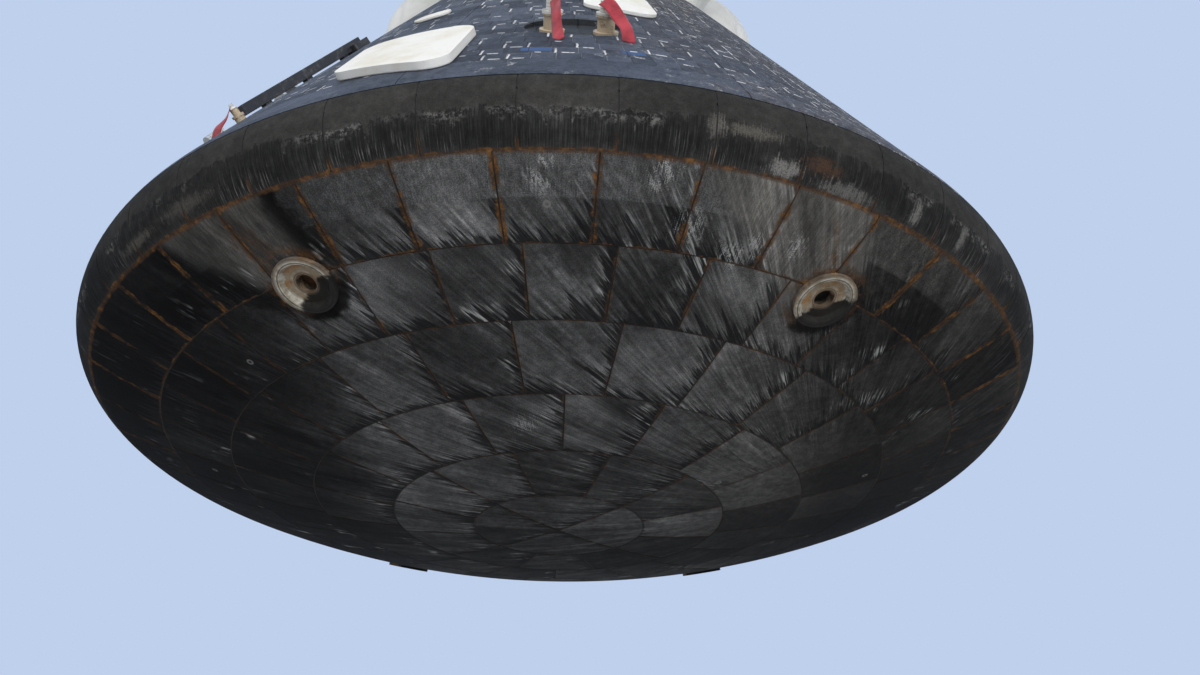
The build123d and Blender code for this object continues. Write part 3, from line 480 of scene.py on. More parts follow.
    # Rust that wept from the seams and round the pads
    weep = char.place.speckle(11.0, 4.0, 0.65)
    front = (-char.y).ease(-0.8, 1.6) * 0.8 + 0.2
    rust_width = (weep - 0.36) * (0.045 * rust_share)
    stain = (seam_gap - rust_width).ease(0.012, 0.0) * weep.ease(0.34, 0.54)
    if ring_node == "ablator_ring_6":
        stain = stain.most((outer_gap - (weep - 0.3) * 0.015).ease(0.010, 0.0) * 0.8)
        stain = stain.most((inner_gap - (weep - 0.42) * 0.03).ease(0.007, 0.0) * weep.ease(0.40, 0.52))
    elif ring_node == "ablator_shoulder":
        flame = (azimuth * 1.7).vector(2.5, 0.0).speckle(1.0, 2.0, 0.6)
        stain = (seam_gap - (0.075 - rise) * 0.16 * weep).ease(0.006, 0.0)
        stain = stain * (rise - flame * 0.09).ease(0.04, 0.0)
        stain = stain.most((rise - (weep - 0.34) * 0.026).ease(0.010, 0.0))
    else:
        ring_gap = inner_gap.least(outer_gap) if inner else outer_gap
        stain = stain.most((ring_gap - 0.001 - rust_width * 0.5).ease(0.005, 0.0) * weep.ease(0.38, 0.56))
    colour = (stain * front * (0.3 + 0.6 * rust_share)).tint(colour, rust_tint(char))
    if inner > pad_zone_radius:
        halo = (pad_away + (weep - 0.5) * 0.10).ease(0.20, 0.138) * weep.ease(0.40, 0.55)
        halo = halo * lee.ease(-0.12, 0.0)
        trail = (beside - 0.02).ease(0.05, 0.01) * lee.ease(0.12, 0.16) * lee.ease(0.42, 0.2)
        trail = trail * soft.ease(0.46, 0.56)
        colour = (halo.most(trail) * 0.75).tint(colour, rust_tint(char))
    height = upright * 0.3 + grain * 0.7 + mottle * 0.5 + hair * streaked * 0.4 - strokes * 0.7
    dress(char.set(colour, height, 0.004, Roughness=0.9, Specular_IOR_Level=0.1), ring_node)

# Carrier: the composite dish that the blocks are bonded to.
# Only the dark bottom of the open seams shows of it, with rust washed into them.
seam_black, seam_rust = (0.01, 0.009, 0.008), (0.07, 0.03, 0.01)
carrier = Finish("seam_bottom")
weep = carrier.place.speckle(9.0, 4.0, 0.65).ease(0.4, 0.6)
dress(carrier.set(weep.tint(seam_black, seam_rust), Roughness=0.95), "heat_shield_carrier")

# Seam fillers: beads of silicone pressed into the gaps between the blocks, a little below the face.
# A strip follows the shield's section along each radial gap, and a ring closes the gap inside each
# ring of blocks.


def new_piece(name, mesh, material, body="root"):
    """Object for a finished mesh, riding on a body."""
    piece = bpy.data.objects.new(name, mesh)
    bpy.context.scene.collection.objects.link(piece)
    if material is not None:
        mesh.materials.clear()
        mesh.materials.append(material)
    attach(piece, body)
    return piece


class Recipe:
    """A Geometry Nodes tree in the making, with named inputs for its sizes."""

    def __init__(self, name, **sizes):
        self.tree = bpy.data.node_groups.new(name, "GeometryNodeTree")
        self.tree.interface.new_socket("Geometry", in_out="OUTPUT", socket_type="NodeSocketGeometry")
        self.sizes = sizes
        self.keys = {}
        for size, value in sizes.items():
            kind = "NodeSocketInt" if isinstance(value, int) else "NodeSocketFloat"
            socket = self.tree.interface.new_socket(size, in_out="INPUT", socket_type=kind)
            self.keys[size] = socket.identifier
        self.inward = self.tree.nodes.new("NodeGroupInput")
        self.outward = self.tree.nodes.new("NodeGroupOutput")

    def __getitem__(self, size):
        return Wire(self.tree, self.inward.outputs[size])

    def node(self, kind, settings=(), inputs=(), out=0):
        return Wire(self.tree, None).node(kind, settings, inputs, out)

    def finish(self, geometry, material):
        """Close the tree: instances made real, and the piece's material on them."""
        real = self.node("GeometryNodeRealizeInstances", (), {"Geometry": geometry})
        dressed = self.node("GeometryNodeSetMaterial", (), {"Geometry": real, "Material": material})
        self.tree.links.new(dressed.socket, self.outward.inputs[0])

    def grow(self, piece_name, body="root", **changed):
        """Plain mesh piece grown with these sizes, riding on a body."""
        host = bpy.data.objects.new(piece_name + "_host", bpy.data.meshes.new(piece_name + "_host"))
        bpy.context.scene.collection.objects.link(host)
        modifier = host.modifiers.new("recipe", "NODES")
        modifier.node_group = self.tree
        for size, value in {**self.sizes, **changed}.items():
            modifier[self.keys[size]] = value
        grown = host.evaluated_get(bpy.context.evaluated_depsgraph_get())
        mesh = bpy.data.meshes.new_from_object(grown)
        host.modifiers.remove(modifier)
        bpy.data.objects.remove(host)
        mesh.name = piece_name
        return new_piece(piece_name, mesh, None, body)


filler_black, filler_rust = (0.008, 0.007, 0.0065), (0.085, 0.038, 0.012)
ring_resolution = 480
pad_clearance = 0.004
bead_sink = 0.075
filler = Finish("seam_filler")
weep = filler.place.speckle(12.0, 4.0, 0.65)
rusty = weep.ease(0.46, 0.64) * (-filler.y).ease(-0.8, 2.2)
rusty = rusty * filler.radius().ease(1.2, 2.4) * filler.z.ease(0.60, 0.52)
filler.set((rusty * 0.7).tint(filler_black, filler_rust), weep, 0.002, Roughness=0.8)
bead = Recipe(
    "seam_bead", inner_slope=0.1, outer_slope=0.2, blocks=12, first_seam=0.0, depth=0.0022, width=0.0064,
    thickness=0.004, points=16,
)


def section(recipe, slope):
    """Run and height of the shield's section, sunk to the bead's depth, where the face has this slope."""
    dish = slope.maths("LESS_THAN", edge_slope)
    sunk = recipe["depth"] + recipe["thickness"] * 0.5
    far, near = dish_radius - sunk, shoulder_radius - sunk
    sine, cosine = slope.maths("SINE"), slope.maths("COSINE")
    run = dish * (far * sine) + (1 - dish) * (near * sine + edge_ring)
    height = dish * (dish_radius - far * cosine) + (1 - dish) * (edge_height - near * cosine)
    return run, height


bead_size = {"Width": bead["width"], "Height": bead["thickness"]}
profile = bead.node("GeometryNodeCurvePrimitiveQuadrilateral", (), bead_size)
row = bead.node("GeometryNodeMeshLine", (), {"Count": bead["points"]})
index = bead.node("GeometryNodeInputIndex")
slope = bead["inner_slope"] + (bead["outer_slope"] - bead["inner_slope"]) * index / (bead["points"] - 1)
run, height = section(bead, slope)
row = bead.node("GeometryNodeSetPosition", (), {"Geometry": row, "Position": run.vector(0.0, height)})
row = bead.node("GeometryNodeMeshToCurve", (), {"Mesh": row})
row = bead.node("GeometryNodeSetCurveNormal", {"mode": "Z_UP"}, {"Curve": row})
strip = bead.node("GeometryNodeCurveToMesh", (), {"Curve": row, "Profile Curve": profile, "Fill Caps": True})
hubs = bead.node("GeometryNodeMeshLine", (), {"Count": bead["blocks"], "Offset": (0.0, 0.0, 0.0)})
spin = (bead["first_seam"] + index * 360 / bead["blocks"]) * (math.pi / 180)
spin = spin.node("ShaderNodeCombineXYZ", (), {2: spin})
turned = bead.node("FunctionNodeEulerToRotation", (), {"Euler": spin})
spread = {"Points": hubs, "Instance": strip, "Rotation": turned}
strips = bead.node("GeometryNodeInstanceOnPoints", (), spread)
run, height = section(bead, bead["inner_slope"])
raised = (height * 0).vector(0.0, height)
loop = bead.node("GeometryNodeCurvePrimitiveCircle", (), {"Resolution": ring_resolution, "Radius": run})
loop = bead.node("GeometryNodeSetPosition", (), {"Geometry": loop, "Offset": raised})
loop = bead.node("GeometryNodeSetCurveNormal", {"mode": "Z_UP"}, {"Curve": loop})
loop = bead.node("GeometryNodeCurveToMesh", (), {"Curve": loop, "Profile Curve": profile, "Fill Caps": True})
joined = bead.tree.nodes.new("GeometryNodeJoinGeometry")
for part in (strips, loop):
    bead.tree.links.new(part.socket, joined.inputs[0])
beads = bead.node("GeometryNodeRealizeInstances", (), {"Geometry": Wire(bead.tree, joined.outputs[0])})
# Under the pads the bead sinks into the carrier
spot = bead.tree.nodes.new("ShaderNodeSeparateXYZ")
bead.tree.links.new(bead.node("GeometryNodeInputPosition").socket, spot.inputs[0])
spot_x = Wire(bead.tree, spot.outputs[0]).abs() - pad_across
spot_y = Wire(bead.tree, spot.outputs[1]).abs() - pad_along
under = (spot_x * spot_x + spot_y * spot_y).maths("LESS_THAN", (pad_outer_radius - pad_clearance) ** 2)
sunk = (under * 0.0).vector(0.0, under * bead_sink)
beads = bead.node("GeometryNodeSetPosition", (), {"Geometry": beads, "Offset": sunk})
bead.finish(beads, filler.material)
for ring_index, (ring_node, inner, outer, count, seam_azimuth, rust_share) in enumerate(ring_table):
    if ring_node == "ablator_shoulder":
        slopes = joint_slope, shoulder_end_slope
    else:
        slopes = math.asin(inner / dish_radius), math.asin(outer / dish_radius)
    if ring_node == "ablator_ring_6":
        slopes = slopes[0], joint_slope
    beads = bead.grow(
        f"seam_filler_{ring_index + 1}", inner_slope=slopes[0], outer_slope=slopes[1],
        blocks=count, first_seam=float(seam_azimuth),
    )

# Compression pads: four dished plugs of hard ablator, let into the blocks where bolts held the
# capsule. Rims are bleached, rust ran from the holes, and soot lies on the side that met the flow.
hole_radius, dish_edge, rust_ring, groove_radius, rim_edge = 0.030, 0.064, 0.074, 0.112, 0.130
pad_buff, pad_bleached = (0.17, 0.145, 0.105), (0.44, 0.42, 0.36)
ring_rust, ring_buff = (0.26, 0.12, 0.035), (0.20, 0.15, 0.09)
dish_brown, dish_buff = (0.035, 0.018, 0.010), (0.22, 0.15, 0.09)
hole_black = (0.012, 0.009, 0.008)
groove_brown = (0.05, 0.026, 0.014)
pad_soot = (0.007, 0.007, 0.007)
pad = Finish("pad_ceramic")
pad_x, pad_y = pad_offset(pad)
away = pad_x.span(pad_y)
flow_x, flow_y = pad.x - flow_centre[0], pad.y - flow_centre[1]
lee = (pad_x * flow_x + pad_y * flow_y) / flow_x.span(flow_y)
blotch = pad.place.speckle(24.0, 5.0, 0.65)
swirl = away.vector(0.0, 0.0).speckle(160.0, 2.0, 0.6)
ringed = away + (blotch - 0.5) * 0.03
colour = (blotch * 0.7 + swirl * 0.3).ease(0.36, 0.62).tint(pad_buff, pad_bleached)
rusty = blotch.ease(0.36, 0.56).tint(ring_rust, ring_buff)
colour = ((ringed - rust_ring).abs().ease(0.020, 0.008) * 0.8).tint(colour, rusty)
dished = swirl.ease(0.42, 0.58).tint(dish_brown, dish_buff)
colour = (ringed.ease(dish_edge, 0.052) * 0.9).tint(colour, dished)
colour = (away.ease(hole_radius, 0.020) * 0.85).tint(colour, hole_black)
colour = ((away - groove_radius).abs().ease(0.004, 0.002) * 0.7).tint(colour, groove_brown)
colour = (ringed.ease(0.118, rim_edge) * 0.75).tint(colour, rust_tint(pad))
soot = (lee + (blotch - 0.5) * 0.10).ease(-0.012, -0.040) * away.ease(0.036, 0.058)
colour = (soot * 0.97).tint(colour, pad_soot)
height = blotch * 0.7 + swirl * 0.3
dress(pad.set(colour, height, 0.003, Roughness=0.8, Specular_IOR_Level=0.15), "compression_pads")

# Conical wall and side hatch: silica tiles with a dark glassy coat, bonded to metal panels, with
# narrow seams and white marks of filler at their corners; the lowest band is plain.
# Inside, the panels carry a pale quilted liner.
tile_size = 0.096
lean = math.radians(30)
row_rise = tile_size * math.cos(lean)
cone_start_radius, cone_start_height = 2.4813, 0.8386
band_top = 0.965
row_shift = 0.37
tile_dark, tile_pale = (0.010, 0.014, 0.023), (0.066, 0.080, 0.112)
scorch_brown, scorch_black, soot_black = (0.070, 0.054, 0.040), (0.009, 0.009, 0.009), (0.008, 0.008, 0.009)
recess_dark, recess_dusty = (0.012, 0.014, 0.016), (0.045, 0.05, 0.055)
gap_dark, gap_pale = (0.008, 0.008, 0.010), (0.17, 0.18, 0.20)
filler_white = (0.66, 0.67, 0.68)
liner_dark, liner_pale = (0.30, 0.29, 0.27), (0.62, 0.61, 0.58)
# Dusty oval recess round the nozzles in front and behind: height, half width in degrees, half height
recess_height, recess_half_width, recess_half_height = 1.50, 6.2, 0.155
# Strips of blue tape left on the wall: azimuth, height, half the width in degrees
blue_tapes = ((-93.7, 1.100, 1.5), (-84.3, 1.115, 1.2))
tape_half_height = 0.024
tape_blue = (0.028, 0.075, 0.19)
# Depth at which the liner starts, and the width in degrees and height of its quilting
liner_depth = 0.10
quilt_width, quilt_height = 7.5, 0.25


def depth_in_wall(finish):
    """Level way inwards from the cone's face."""
    return cone_start_radius - (finish.z - cone_start_height) * math.tan(lean) - finish.radius()


def tile_finish(name):
    """Coat of the tiles, laid in rows up the cone's slant with as many in a row as fit round it."""
    tile = Finish(name)
    azimuth = tile.azimuth()
    level = (tile.z - band_top) / row_rise
    row = level.floor()
    row_radius = cone_start_radius - (row * row_rise + band_top - cone_start_height) * math.tan(lean)
    columns = (row_radius * (2 * math.pi / tile_size)).floor()
    column = (azimuth + 720) / 360 * columns + row * row_shift
    cell = column.floor().vector(row, 0.0)
    tone = cell.chance()
    pick = column.floor().vector(row, 3.0).chance()
    second = column.floor().vector(row, 9.0).chance()
    cloud = tile.place.speckle(2.2, 5.0, 0.62)
    mottle = tile.place.speckle(18.0, 5.0, 0.7)
    grain = tile.place.speckle(90.0, 4.0, 0.7)
    bent = tile.place.speckle(30.0, 2.0, 0.6)
    tiled = tile.z.ease(band_top, band_top + 0.004)
    light = (cloud - 0.5) * 1.5 + (mottle - 0.5) * 1.5 + (grain - 0.5) * 1.3
    light = light + (tone - 0.5) * 0.5 * tiled + 0.44 + (1 - tiled) * 0.10
    colour = light.ease(0.0, 1.0).tint(tile_dark, tile_pale)
    # Brown scorch and soot on the side that met the hotter flow
    scorched = (tile.x + (cloud - 0.5) * 2.0 + (tile.z - 1.5) * 0.4).ease(0.0, 1.1)
    flakes = tile.along(azimuth * 1.1, tile.z * 26, 0.0).speckle(1.0, 5.0, 0.75)
    colour = (scorched * mottle.ease(0.36, 0.60) * 0.8).tint(colour, scorch_brown)
    colour = (scorched * flakes.ease(0.53, 0.57) * 0.85).tint(colour, scorch_black)
    colour = (mottle.ease(0.54, 0.64) * (scorched * 0.75 + 0.25)).tint(colour, soot_black)
    oval_x = (azimuth.abs() - 90) / recess_half_width
    oval = oval_x.span((tile.z - recess_height) / recess_half_height) + (mottle - 0.5) * 0.25
    colour = (oval.ease(1.05, 0.92) * 0.9).tint(colour, grain.tint(recess_dark, recess_dusty))
    for tape_azimuth, tape_height, tape_width in blue_tapes:
        off_x, off_y = (azimuth - tape_azimuth).abs(), (tile.z - tape_height).abs() + (bent - 0.5) * 0.01
        taped = off_x.ease(tape_width, tape_width - 0.03) * off_y.ease(tape_half_height, 0.022)
        colour = (taped * grain.ease(0.28, 0.40) * 0.9).tint(colour, tape_blue)
    u, v = column.part() + (bent - 0.5) * 0.10, level.part() + (bent - 0.5) * 0.10
    gap = ((u - 0.5).abs() * -1 + 0.5).least((v - 0.5).abs() * -1 + 0.5) * tile_size
    seam = gap.ease(0.0022, 0.0010) * tiled
    bare_seam = (tone * 0.5 + mottle * 0.5).ease(0.50, 0.66)
    colour = (seam * 0.85).tint(colour, bare_seam.tint(gap_dark, gap_pale))
    # White marks of filler where tiles meet: a dash, an upright, both, or neither
    worn = tile.place.speckle(60.0, 3.0, 0.65).ease(0.34, 0.44)
    half = 0.10 + second * 0.16
    dash = (v - 0.09).abs().ease(0.075, 0.055) * ((u - 0.30 - second * 0.3).abs() - half).ease(0.02, -0.01)
    dash = dash * pick.above(0.60)
    upright = (u - 0.08).abs().ease(0.055, 0.035) * (v - 0.40).abs().ease(0.42, 0.36) * second.above(0.70)
    marks = dash.most(upright) * worn * (tone * 0.5 + 0.5) * tiled * oval.ease(0.9, 1.05)
    rub = tile.place.speckle(6.0, 6.0, 0.8, 0.8)
    scuff = rub.ease(0.57, 0.66) * grain.ease(0.42, 0.58) * mottle.ease(0.42, 0.58)
    scratch = tile.along(azimuth * 0.5, tile.z * 60, 0.0).speckle(1.0, 3.0, 0.7)
    scratch = scratch.ease(0.66, 0.72) * cloud.ease(0.5, 0.6)
    chipped = scorched * flakes.ease(0.43, 0.40) * grain.ease(0.44, 0.56)
    white = (marks * 0.9).most(scuff * (0.4 + scorched * 0.5)).most(scratch * 0.4).most(chipped * 0.55)
    colour = white.tint(colour, filler_white)
    # Liner on the inner side
    inside = depth_in_wall(tile).ease(liner_depth, liner_depth + 0.01)
    quilt_x = (azimuth / quilt_width).part().maths("PINGPONG", 0.5)
    quilt = quilt_x.least((tile.z / quilt_height).part().maths("PINGPONG", 0.5))
    liner = (quilt.ease(0.0, 0.05) * 0.5 + cloud * 0.5).tint(liner_dark, liner_pale)
    colour = inside.tint(colour, liner)
    height = gap.ease(0.0, 0.005) * tiled * (1 - inside) + grain * 0.15 + marks * 0.5
    height = height + quilt.ease(0.0, 0.08) * inside
    return tile.set(colour, height, 0.004, Roughness=cloud * 0.3 + 0.5, Specular_IOR_Level=0.28)


wall_coat = tile_finish("wall_tiles")
dress(wall_coat, "side_hatch", *[name for name in nodes if name.startswith("wall_panel")])

# Covers: boards of off-white foam, cut to shape and taped over the windows and vents.
# Their faces have yellowed in patches and picked up brown flecks.
foam_white, foam_yellowed, foam_fleck = (0.70, 0.70, 0.68), (0.56, 0.52, 0.41), (0.5, 0.46, 0.38)
cover = Finish("cover_foam")
stain = cover.place.speckle(4.0, 4.0, 0.6)
fleck = cover.place.speckle(70.0, 3.0, 0.6)
colour = (stain.ease(0.45, 0.7) * 0.6).tint(foam_white, foam_yellowed)
colour = (fleck.ease(0.62, 0.7) * 0.4).tint(colour, foam_fleck)
cover.set(colour, fleck, 0.001, Roughness=0.7, Specular_IOR_Level=0.2)
dress(cover.material, "window_covers", "upper_covers", "vent_covers")

# Windows: thick panes of clear fused silica, set back in the wall and in the side hatch
# and held in their openings from inside.
pane_tint = (0.9, 0.95, 0.96)
glass = Finish("window_glass")
glass.set(pane_tint, Roughness=0.03, Transmission_Weight=0.9, IOR=1.46)
dress(glass.material, "window_panes", "hatch_window")

# Thruster nozzles: heat-tinted metal bells let into the wall. White plastic plugs with a grooved
# cap and a beige foot are pushed into three of them.
nozzle_dark, nozzle_pale = (0.16, 0.14, 0.13), (0.36, 0.33, 0.31)
foot_beige, cap_white, plug_dirt_and_groove_shade = (0.46, 0.37, 0.26), (0.62, 0.61, 0.58), (0.10, 0.075, 0.055)
foot_height, groove_pitch = 0.055, 0.014
nozzle = Finish("nozzle_metal")
tint = nozzle.place.speckle(14.0, 4.0, 0.6).tint(nozzle_dark, nozzle_pale)
dress(nozzle.set(tint, Metallic=1.0, Roughness=0.42), "thruster_nozzles")
plug = Finish("plug_plastic")
grime = plug.place.speckle(30.0, 4.0, 0.65)
lift = depth_in_wall(plug) * -math.cos(lean)
colour = lift.ease(foot_height, foot_height + 0.005).tint(foot_beige, cap_white)
# Painted shade: dark rings are painted along the cap's grooves; the same brown also marks dirt in random
# spots.
groove_shade = ((lift / groove_pitch).part() - 0.5).abs().ease(0.40, 0.46) * lift.above(foot_height)
colour = (groove_shade.most(grime.ease(0.50, 0.68)) * 0.7).tint(colour, plug_dirt_and_groove_shade)
dress(plug.set(colour, grime, 0.001, Roughness=0.5), "nozzle_plugs")

# Structure and fittings, bolted to the wall, bulkhead or floor: machined aluminium with a light
# oxide film, a dark anodised rail and console, white-painted canisters, a primed rim ring, and
# seats of woven cloth.
bare_dark, bare_pale = (0.34, 0.34, 0.33), (0.62, 0.62, 0.60)
anodised_black, anodised_worn = (0.018, 0.018, 0.02), (0.09, 0.085, 0.08)
paint_dusty, paint_white = (0.52, 0.51, 0.48), (0.76, 0.75, 0.73)
primer_scorched, primer_tan = (0.16, 0.11, 0.06), (0.42, 0.34, 0.22)
seat_dark, seat_blue = (0.09, 0.12, 0.17), (0.13, 0.17, 0.23)
bare = Finish("bare_metal")
film = bare.place.speckle(8.0, 5.0, 0.65)
scratch = (bare.x * 8).vector(bare.y * 8, bare.z * 120).speckle(1.0, 3.0, 0.6)
colour = (film * 0.6 + scratch * 0.4).tint(bare_dark, bare_pale)
dress(
    bare.set(colour, scratch, 0.0004, Metallic=0.85, Roughness=film * 0.25 + 0.3),
    "hatch_hinge_arms", "hatch_hinge_ears", "hatch_handle", "cabin_floor", "forward_bulkhead",
    "docking_ring", "top_hatch", "top_hatch_hinge", "forward_gussets",
)
dark = Finish("dark_metal")
worn = dark.place.speckle(20.0, 4.0, 0.65)
dark.set(worn.ease(0.5, 0.75).tint(anodised_black, anodised_worn), worn, 0.0006, Roughness=0.45)
dress(dark.material, "hatch_side_rail", "instrument_console")
white = Finish("bay_white")
dust = white.place.speckle(5.0, 5.0, 0.65)
white.set(dust.tint(paint_dusty, paint_white), dust, 0.0005, Roughness=0.55)
dress(white.material, "parachute_mortars", "bag_canisters", "docking_tunnel")
rim = Finish("rim_paint")
scorch = rim.place.speckle(6.0, 5.0, 0.7)
dress(rim.set(scorch.tint(primer_scorched, primer_tan), scorch, 0.001, Roughness=0.6), "rim_ring")
seat = Finish("seat_cloth")
weave = seat.place.node("ShaderNodeTexChecker", (), {"Vector": seat.place, "Scale": 400.0}, out=1)
dress(seat.set(weave.tint(seat_dark, seat_blue), weave, 0.0004, Roughness=0.9), "crew_seats")

# Rim bolts: equally spaced steel hex heads that hold the rim ring down on the wall's upper end.
# The steel has tarnished brown.
steel_tarnished, steel_bright = (0.20, 0.17, 0.13), (0.50, 0.48, 0.44)
bolt_steel = Finish("bolt_steel")
tarnish = bolt_steel.place.speckle(60.0, 3.0, 0.6)
colour = tarnish.tint(steel_tarnished, steel_bright)
bolt_steel.set(colour, tarnish, 0.0003, Metallic=0.9, Roughness=0.45)
bolts = Recipe(
    "ring_of_bolts", count=60, ring_radius=1.235, seat=2.9365, sides=6, head_radius=0.011, head_height=0.008,
)
head_size = {"Vertices": bolts["sides"], "Radius": bolts["head_radius"], "Depth": bolts["head_height"]}
head = bolts.node("GeometryNodeMeshCylinder", (), head_size)
ring_size = {"Vertices": bolts["count"], "Radius": bolts["ring_radius"]}
circle = bolts.node("GeometryNodeMeshCircle", (), ring_size)
lift = bolts["seat"] + bolts["head_height"] * 0.5
raised = (lift * 0).vector(0.0, lift)
circle = bolts.node("GeometryNodeSetPosition", (), {"Geometry": circle, "Offset": raised})
heads = bolts.node("GeometryNodeInstanceOnPoints", (), {"Points": circle, "Instance": head})
bolts.finish(heads, bolt_steel.material)
rim_bolts = bolts.grow("rim_bolts")

# Uprighting bags: balls of coated cloth in eight gores, welded at the seams and drawn down to a neck
# on their canisters. Gas keeps them taut, and the cloth puckers at the seams and the neck.
bag_count = 5
bag_first_azimuth = 18
bag_ring = 0.930
bag_middle = 3.8606
bag_radius = 0.520
bag_neck = 0.074
bag_foot = 2.8209
gore_count = 8
flank_rows, ball_rows, spokes = 14, 30, 96
seam_pinch, neck_gather, pucker_depth = 0.035, 0.02, 0.006
# Shares of the outline's width, height and crown that the cloth takes up
width_share, height_share, crown_share = 0.988, 0.995, 0.985
cloth_white, cloth_dirty = (0.70, 0.70, 0.68), (0.46, 0.45, 0.41)
bag_cloth = Finish("bag_fabric")
weave = bag_cloth.place.speckle(240.0, 2.0, 0.6)
dirt = bag_cloth.place.speckle(2.6, 5.0, 0.62)
colour = (dirt.ease(0.42, 0.72) * 0.55).tint(cloth_white, cloth_dirty)
bag_cloth.set(colour, weave, 0.0006, Roughness=0.55, Sheen_Weight=0.15)
flank = math.asin((bag_radius - bag_neck) / (bag_middle - bag_foot))
low = (bag_neck, bag_foot - bag_middle)
high = (bag_radius * math.cos(flank), -bag_radius * math.sin(flank))
# Outline from the neck to the crown: way out, height above the middle, how full it is
outline = []
for step in range(flank_rows):
    share = step / flank_rows
    outline.append((low[0] + (high[0] - low[0]) * share, low[1] + (high[1] - low[1]) * share, share))
for step in range(ball_rows):
    rise = -flank + (math.pi / 2 + flank) * step / ball_rows
    outline.append((bag_radius * math.cos(rise), bag_radius * math.sin(rise), 1.0))
for index in range(bag_count):
    bag_turn = math.radians(bag_first_azimuth + index * 360 / bag_count)
    centre = Vector((bag_ring * math.cos(bag_turn), bag_ring * math.sin(bag_turn), bag_middle))
    mesh = bpy.data.meshes.new(f"inflated_bag_{index + 1}")
    shell = bmesh.new()
    rows = []
    for run, height, fullness in outline:
        row = []
        for spoke in range(spokes):
            angle = 2 * math.pi * spoke / spokes
            pinch = (1 - abs(math.sin(gore_count * angle / 2))) ** 5
            crease = Vector((math.cos(angle) * 4, math.sin(angle) * 4, height * 9 + index * 5))
            pucker = pucker_depth * noise.noise(crease)
            gathered = neck_gather * (1 - fullness) * math.cos(gore_count * angle)
            out = run * (1 - seam_pinch * pinch - gathered) * width_share
            out = out + pucker * (1 + 3 * pinch) * min(1, run * 6)
            place = Vector((out * math.cos(angle), out * math.sin(angle), height * height_share))
            row.append(shell.verts.new(centre + place))
        rows.append(row)
    for lower, upper in zip(rows, rows[1:]):
        for spoke in range(spokes):
            after = (spoke + 1) % spokes
            shell.faces.new((lower[spoke], lower[after], upper[after], upper[spoke]))
    top = shell.verts.new(centre + Vector((0, 0, bag_radius * crown_share)))
    foot = shell.verts.new(centre + Vector((0, 0, bag_foot - bag_middle)))
    for spoke in range(spokes):
        after = (spoke + 1) % spokes
        shell.faces.new((rows[-1][spoke], rows[-1][after], top))
        shell.faces.new((rows[0][after], rows[0][spoke], foot))
    bmesh.ops.recalc_face_normals(shell, faces=shell.faces)
    for face in shell.faces:
        face.smooth = True
    shell.to_mesh(mesh)
    shell.free()
    bag = new_piece(f"inflated_bag_{index + 1}", mesh, bag_cloth.material)
    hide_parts(f"uprighting_bag_{index + 1}")

# Streamers: tapes of red webbing tied to the plugs so that nobody forgets to take them out.
# Each hangs from its plug's cap and curls in the wind.
tape_dark, tape_red = (0.13, 0.006, 0.012), (0.40, 0.022, 0.040)
streamer_cloth = Finish("streamer_cloth")
weave = streamer_cloth.place.speckle(420.0, 2.0, 0.6)
fade = streamer_cloth.place.speckle(16.0, 4.0, 0.65)
colour = (fade * 0.75 + weave * 0.25).ease(0.3, 0.7).tint(tape_dark, tape_red)
streamer_cloth.set(colour, weave, 0.0005, Roughness=0.8, Sheen_Weight=0.2)
streamer_width, streamer_thickness = 0.055, 0.0016
plug_length, cap_share, cap_radius, recess_depth = 0.175, 0.8, 0.0285, 0.026
knot_gap = 0.006
cup_depth = 0.004
billow_swing = math.radians(13)
steps, lanes = 36, 6
up = Vector((0, 0, 1))
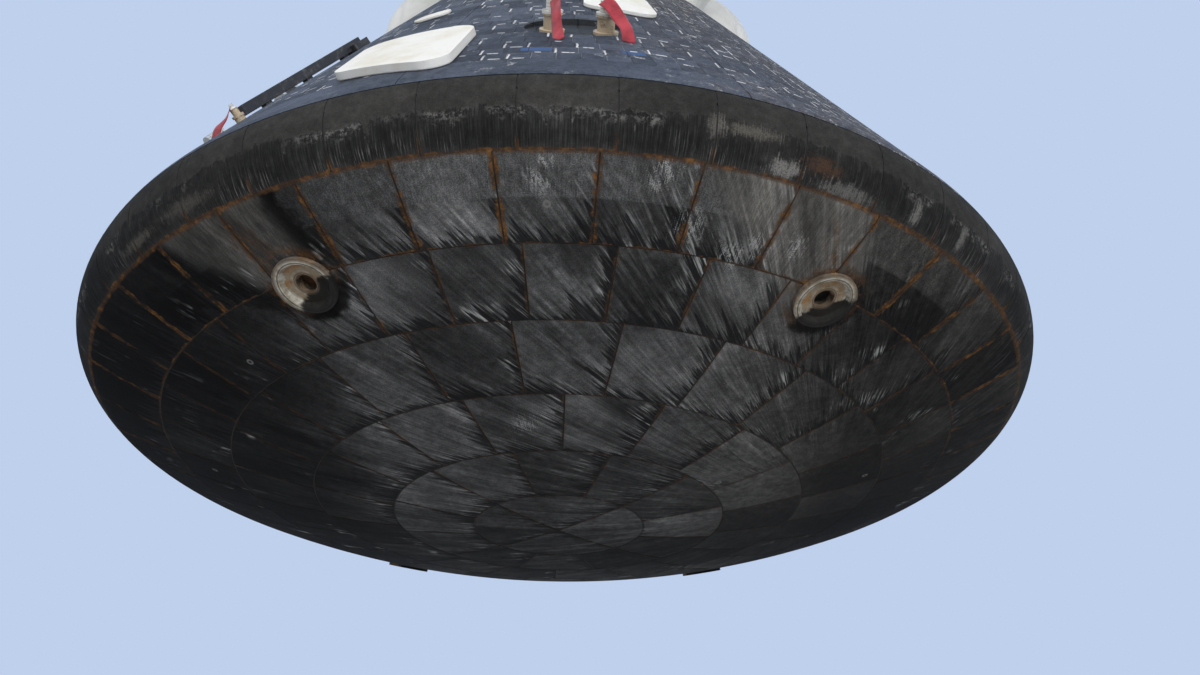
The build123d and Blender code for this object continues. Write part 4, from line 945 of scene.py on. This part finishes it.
# Columns: azimuth and height of its plugs, step aside, share of a full plug's size, heading at the
# tape's top and foot, twist, length
streamer_table = (
    (-89.5, 1.480, -0.105, 1.0, (2, 6), 0.8, 0.270),
    (-89.5, 1.480, 0.095, 1.0, (44, 2), 0.1, 0.270),
    (-127.5, 1.130, 0.0, 0.6, (-32, -18), 0.2, 0.170),
)
for index, (azimuth, height, aside, size, headings, twist, length) in enumerate(streamer_table):
    turn = math.radians(azimuth)
    outward = Vector((math.cos(turn), math.sin(turn), 0))
    sidewards = Vector((-math.sin(turn), math.cos(turn), 0))
    wall_radius = cone_start_radius - (height - cone_start_height) * math.tan(lean)
    reach = plug_length * cap_share * size - recess_depth
    cap = outward * (wall_radius + reach * math.cos(lean)) + up * (height + reach * math.sin(lean))
    below = outward * math.sin(lean) - up * math.cos(lean)
    place = cap + sidewards * aside + below * (cap_radius * size) + outward * knot_gap
    mesh = bpy.data.meshes.new(f"streamer_{index + 1}")
    tape = bmesh.new()
    rows = []
    for step in range(steps + 1):
        share = step / steps
        heading = math.radians(headings[0] + (headings[1] - headings[0]) * share)
        billow = billow_swing * math.sin(share * 9.5 + index * 2)
        down = sidewards * math.sin(heading) - up * math.cos(heading)
        run = down * math.cos(billow) + outward * math.sin(billow)
        side = (sidewards * math.cos(heading) + up * math.sin(heading)).normalized()
        side = (side + outward * (twist + 0.3 * math.sin(share * 4 + index))).normalized()
        face = side.cross(run).normalized()
        row = []
        for layer in (-0.5, 0.5):
            for lane in range(lanes + 1):
                across = lane / lanes - 0.5
                cup = cup_depth * (1 - 4 * across * across) * math.sin(share * 7 + index)
                proud = face * (cup + layer * streamer_thickness)
                row.append(tape.verts.new(place + side * across * streamer_width + proud))
        rows.append(row)
        place = place + run * (length / steps)
    ring = list(range(lanes + 1)) + list(range(2 * lanes + 1, lanes, -1))
    for upper, lower in zip(rows, rows[1:]):
        for here, after in zip(ring, ring[1:] + ring[:1]):
            tape.faces.new((upper[here], upper[after], lower[after], lower[here]))
    for end in (rows[0], rows[-1]):
        for lane in range(lanes):
            tape.faces.new((end[lane], end[lane + 1], end[lane + lanes + 2], end[lane + lanes + 1]))
    bmesh.ops.recalc_face_normals(tape, faces=tape.faces)
    for face in tape.faces:
        face.smooth = len(face.verts) == 4 and face.calc_area() > 0.00001
    tape.to_mesh(mesh)
    tape.free()
    streamer = new_piece(f"streamer_{index + 1}", mesh, streamer_cloth.material)
    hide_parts("plug_streamers")
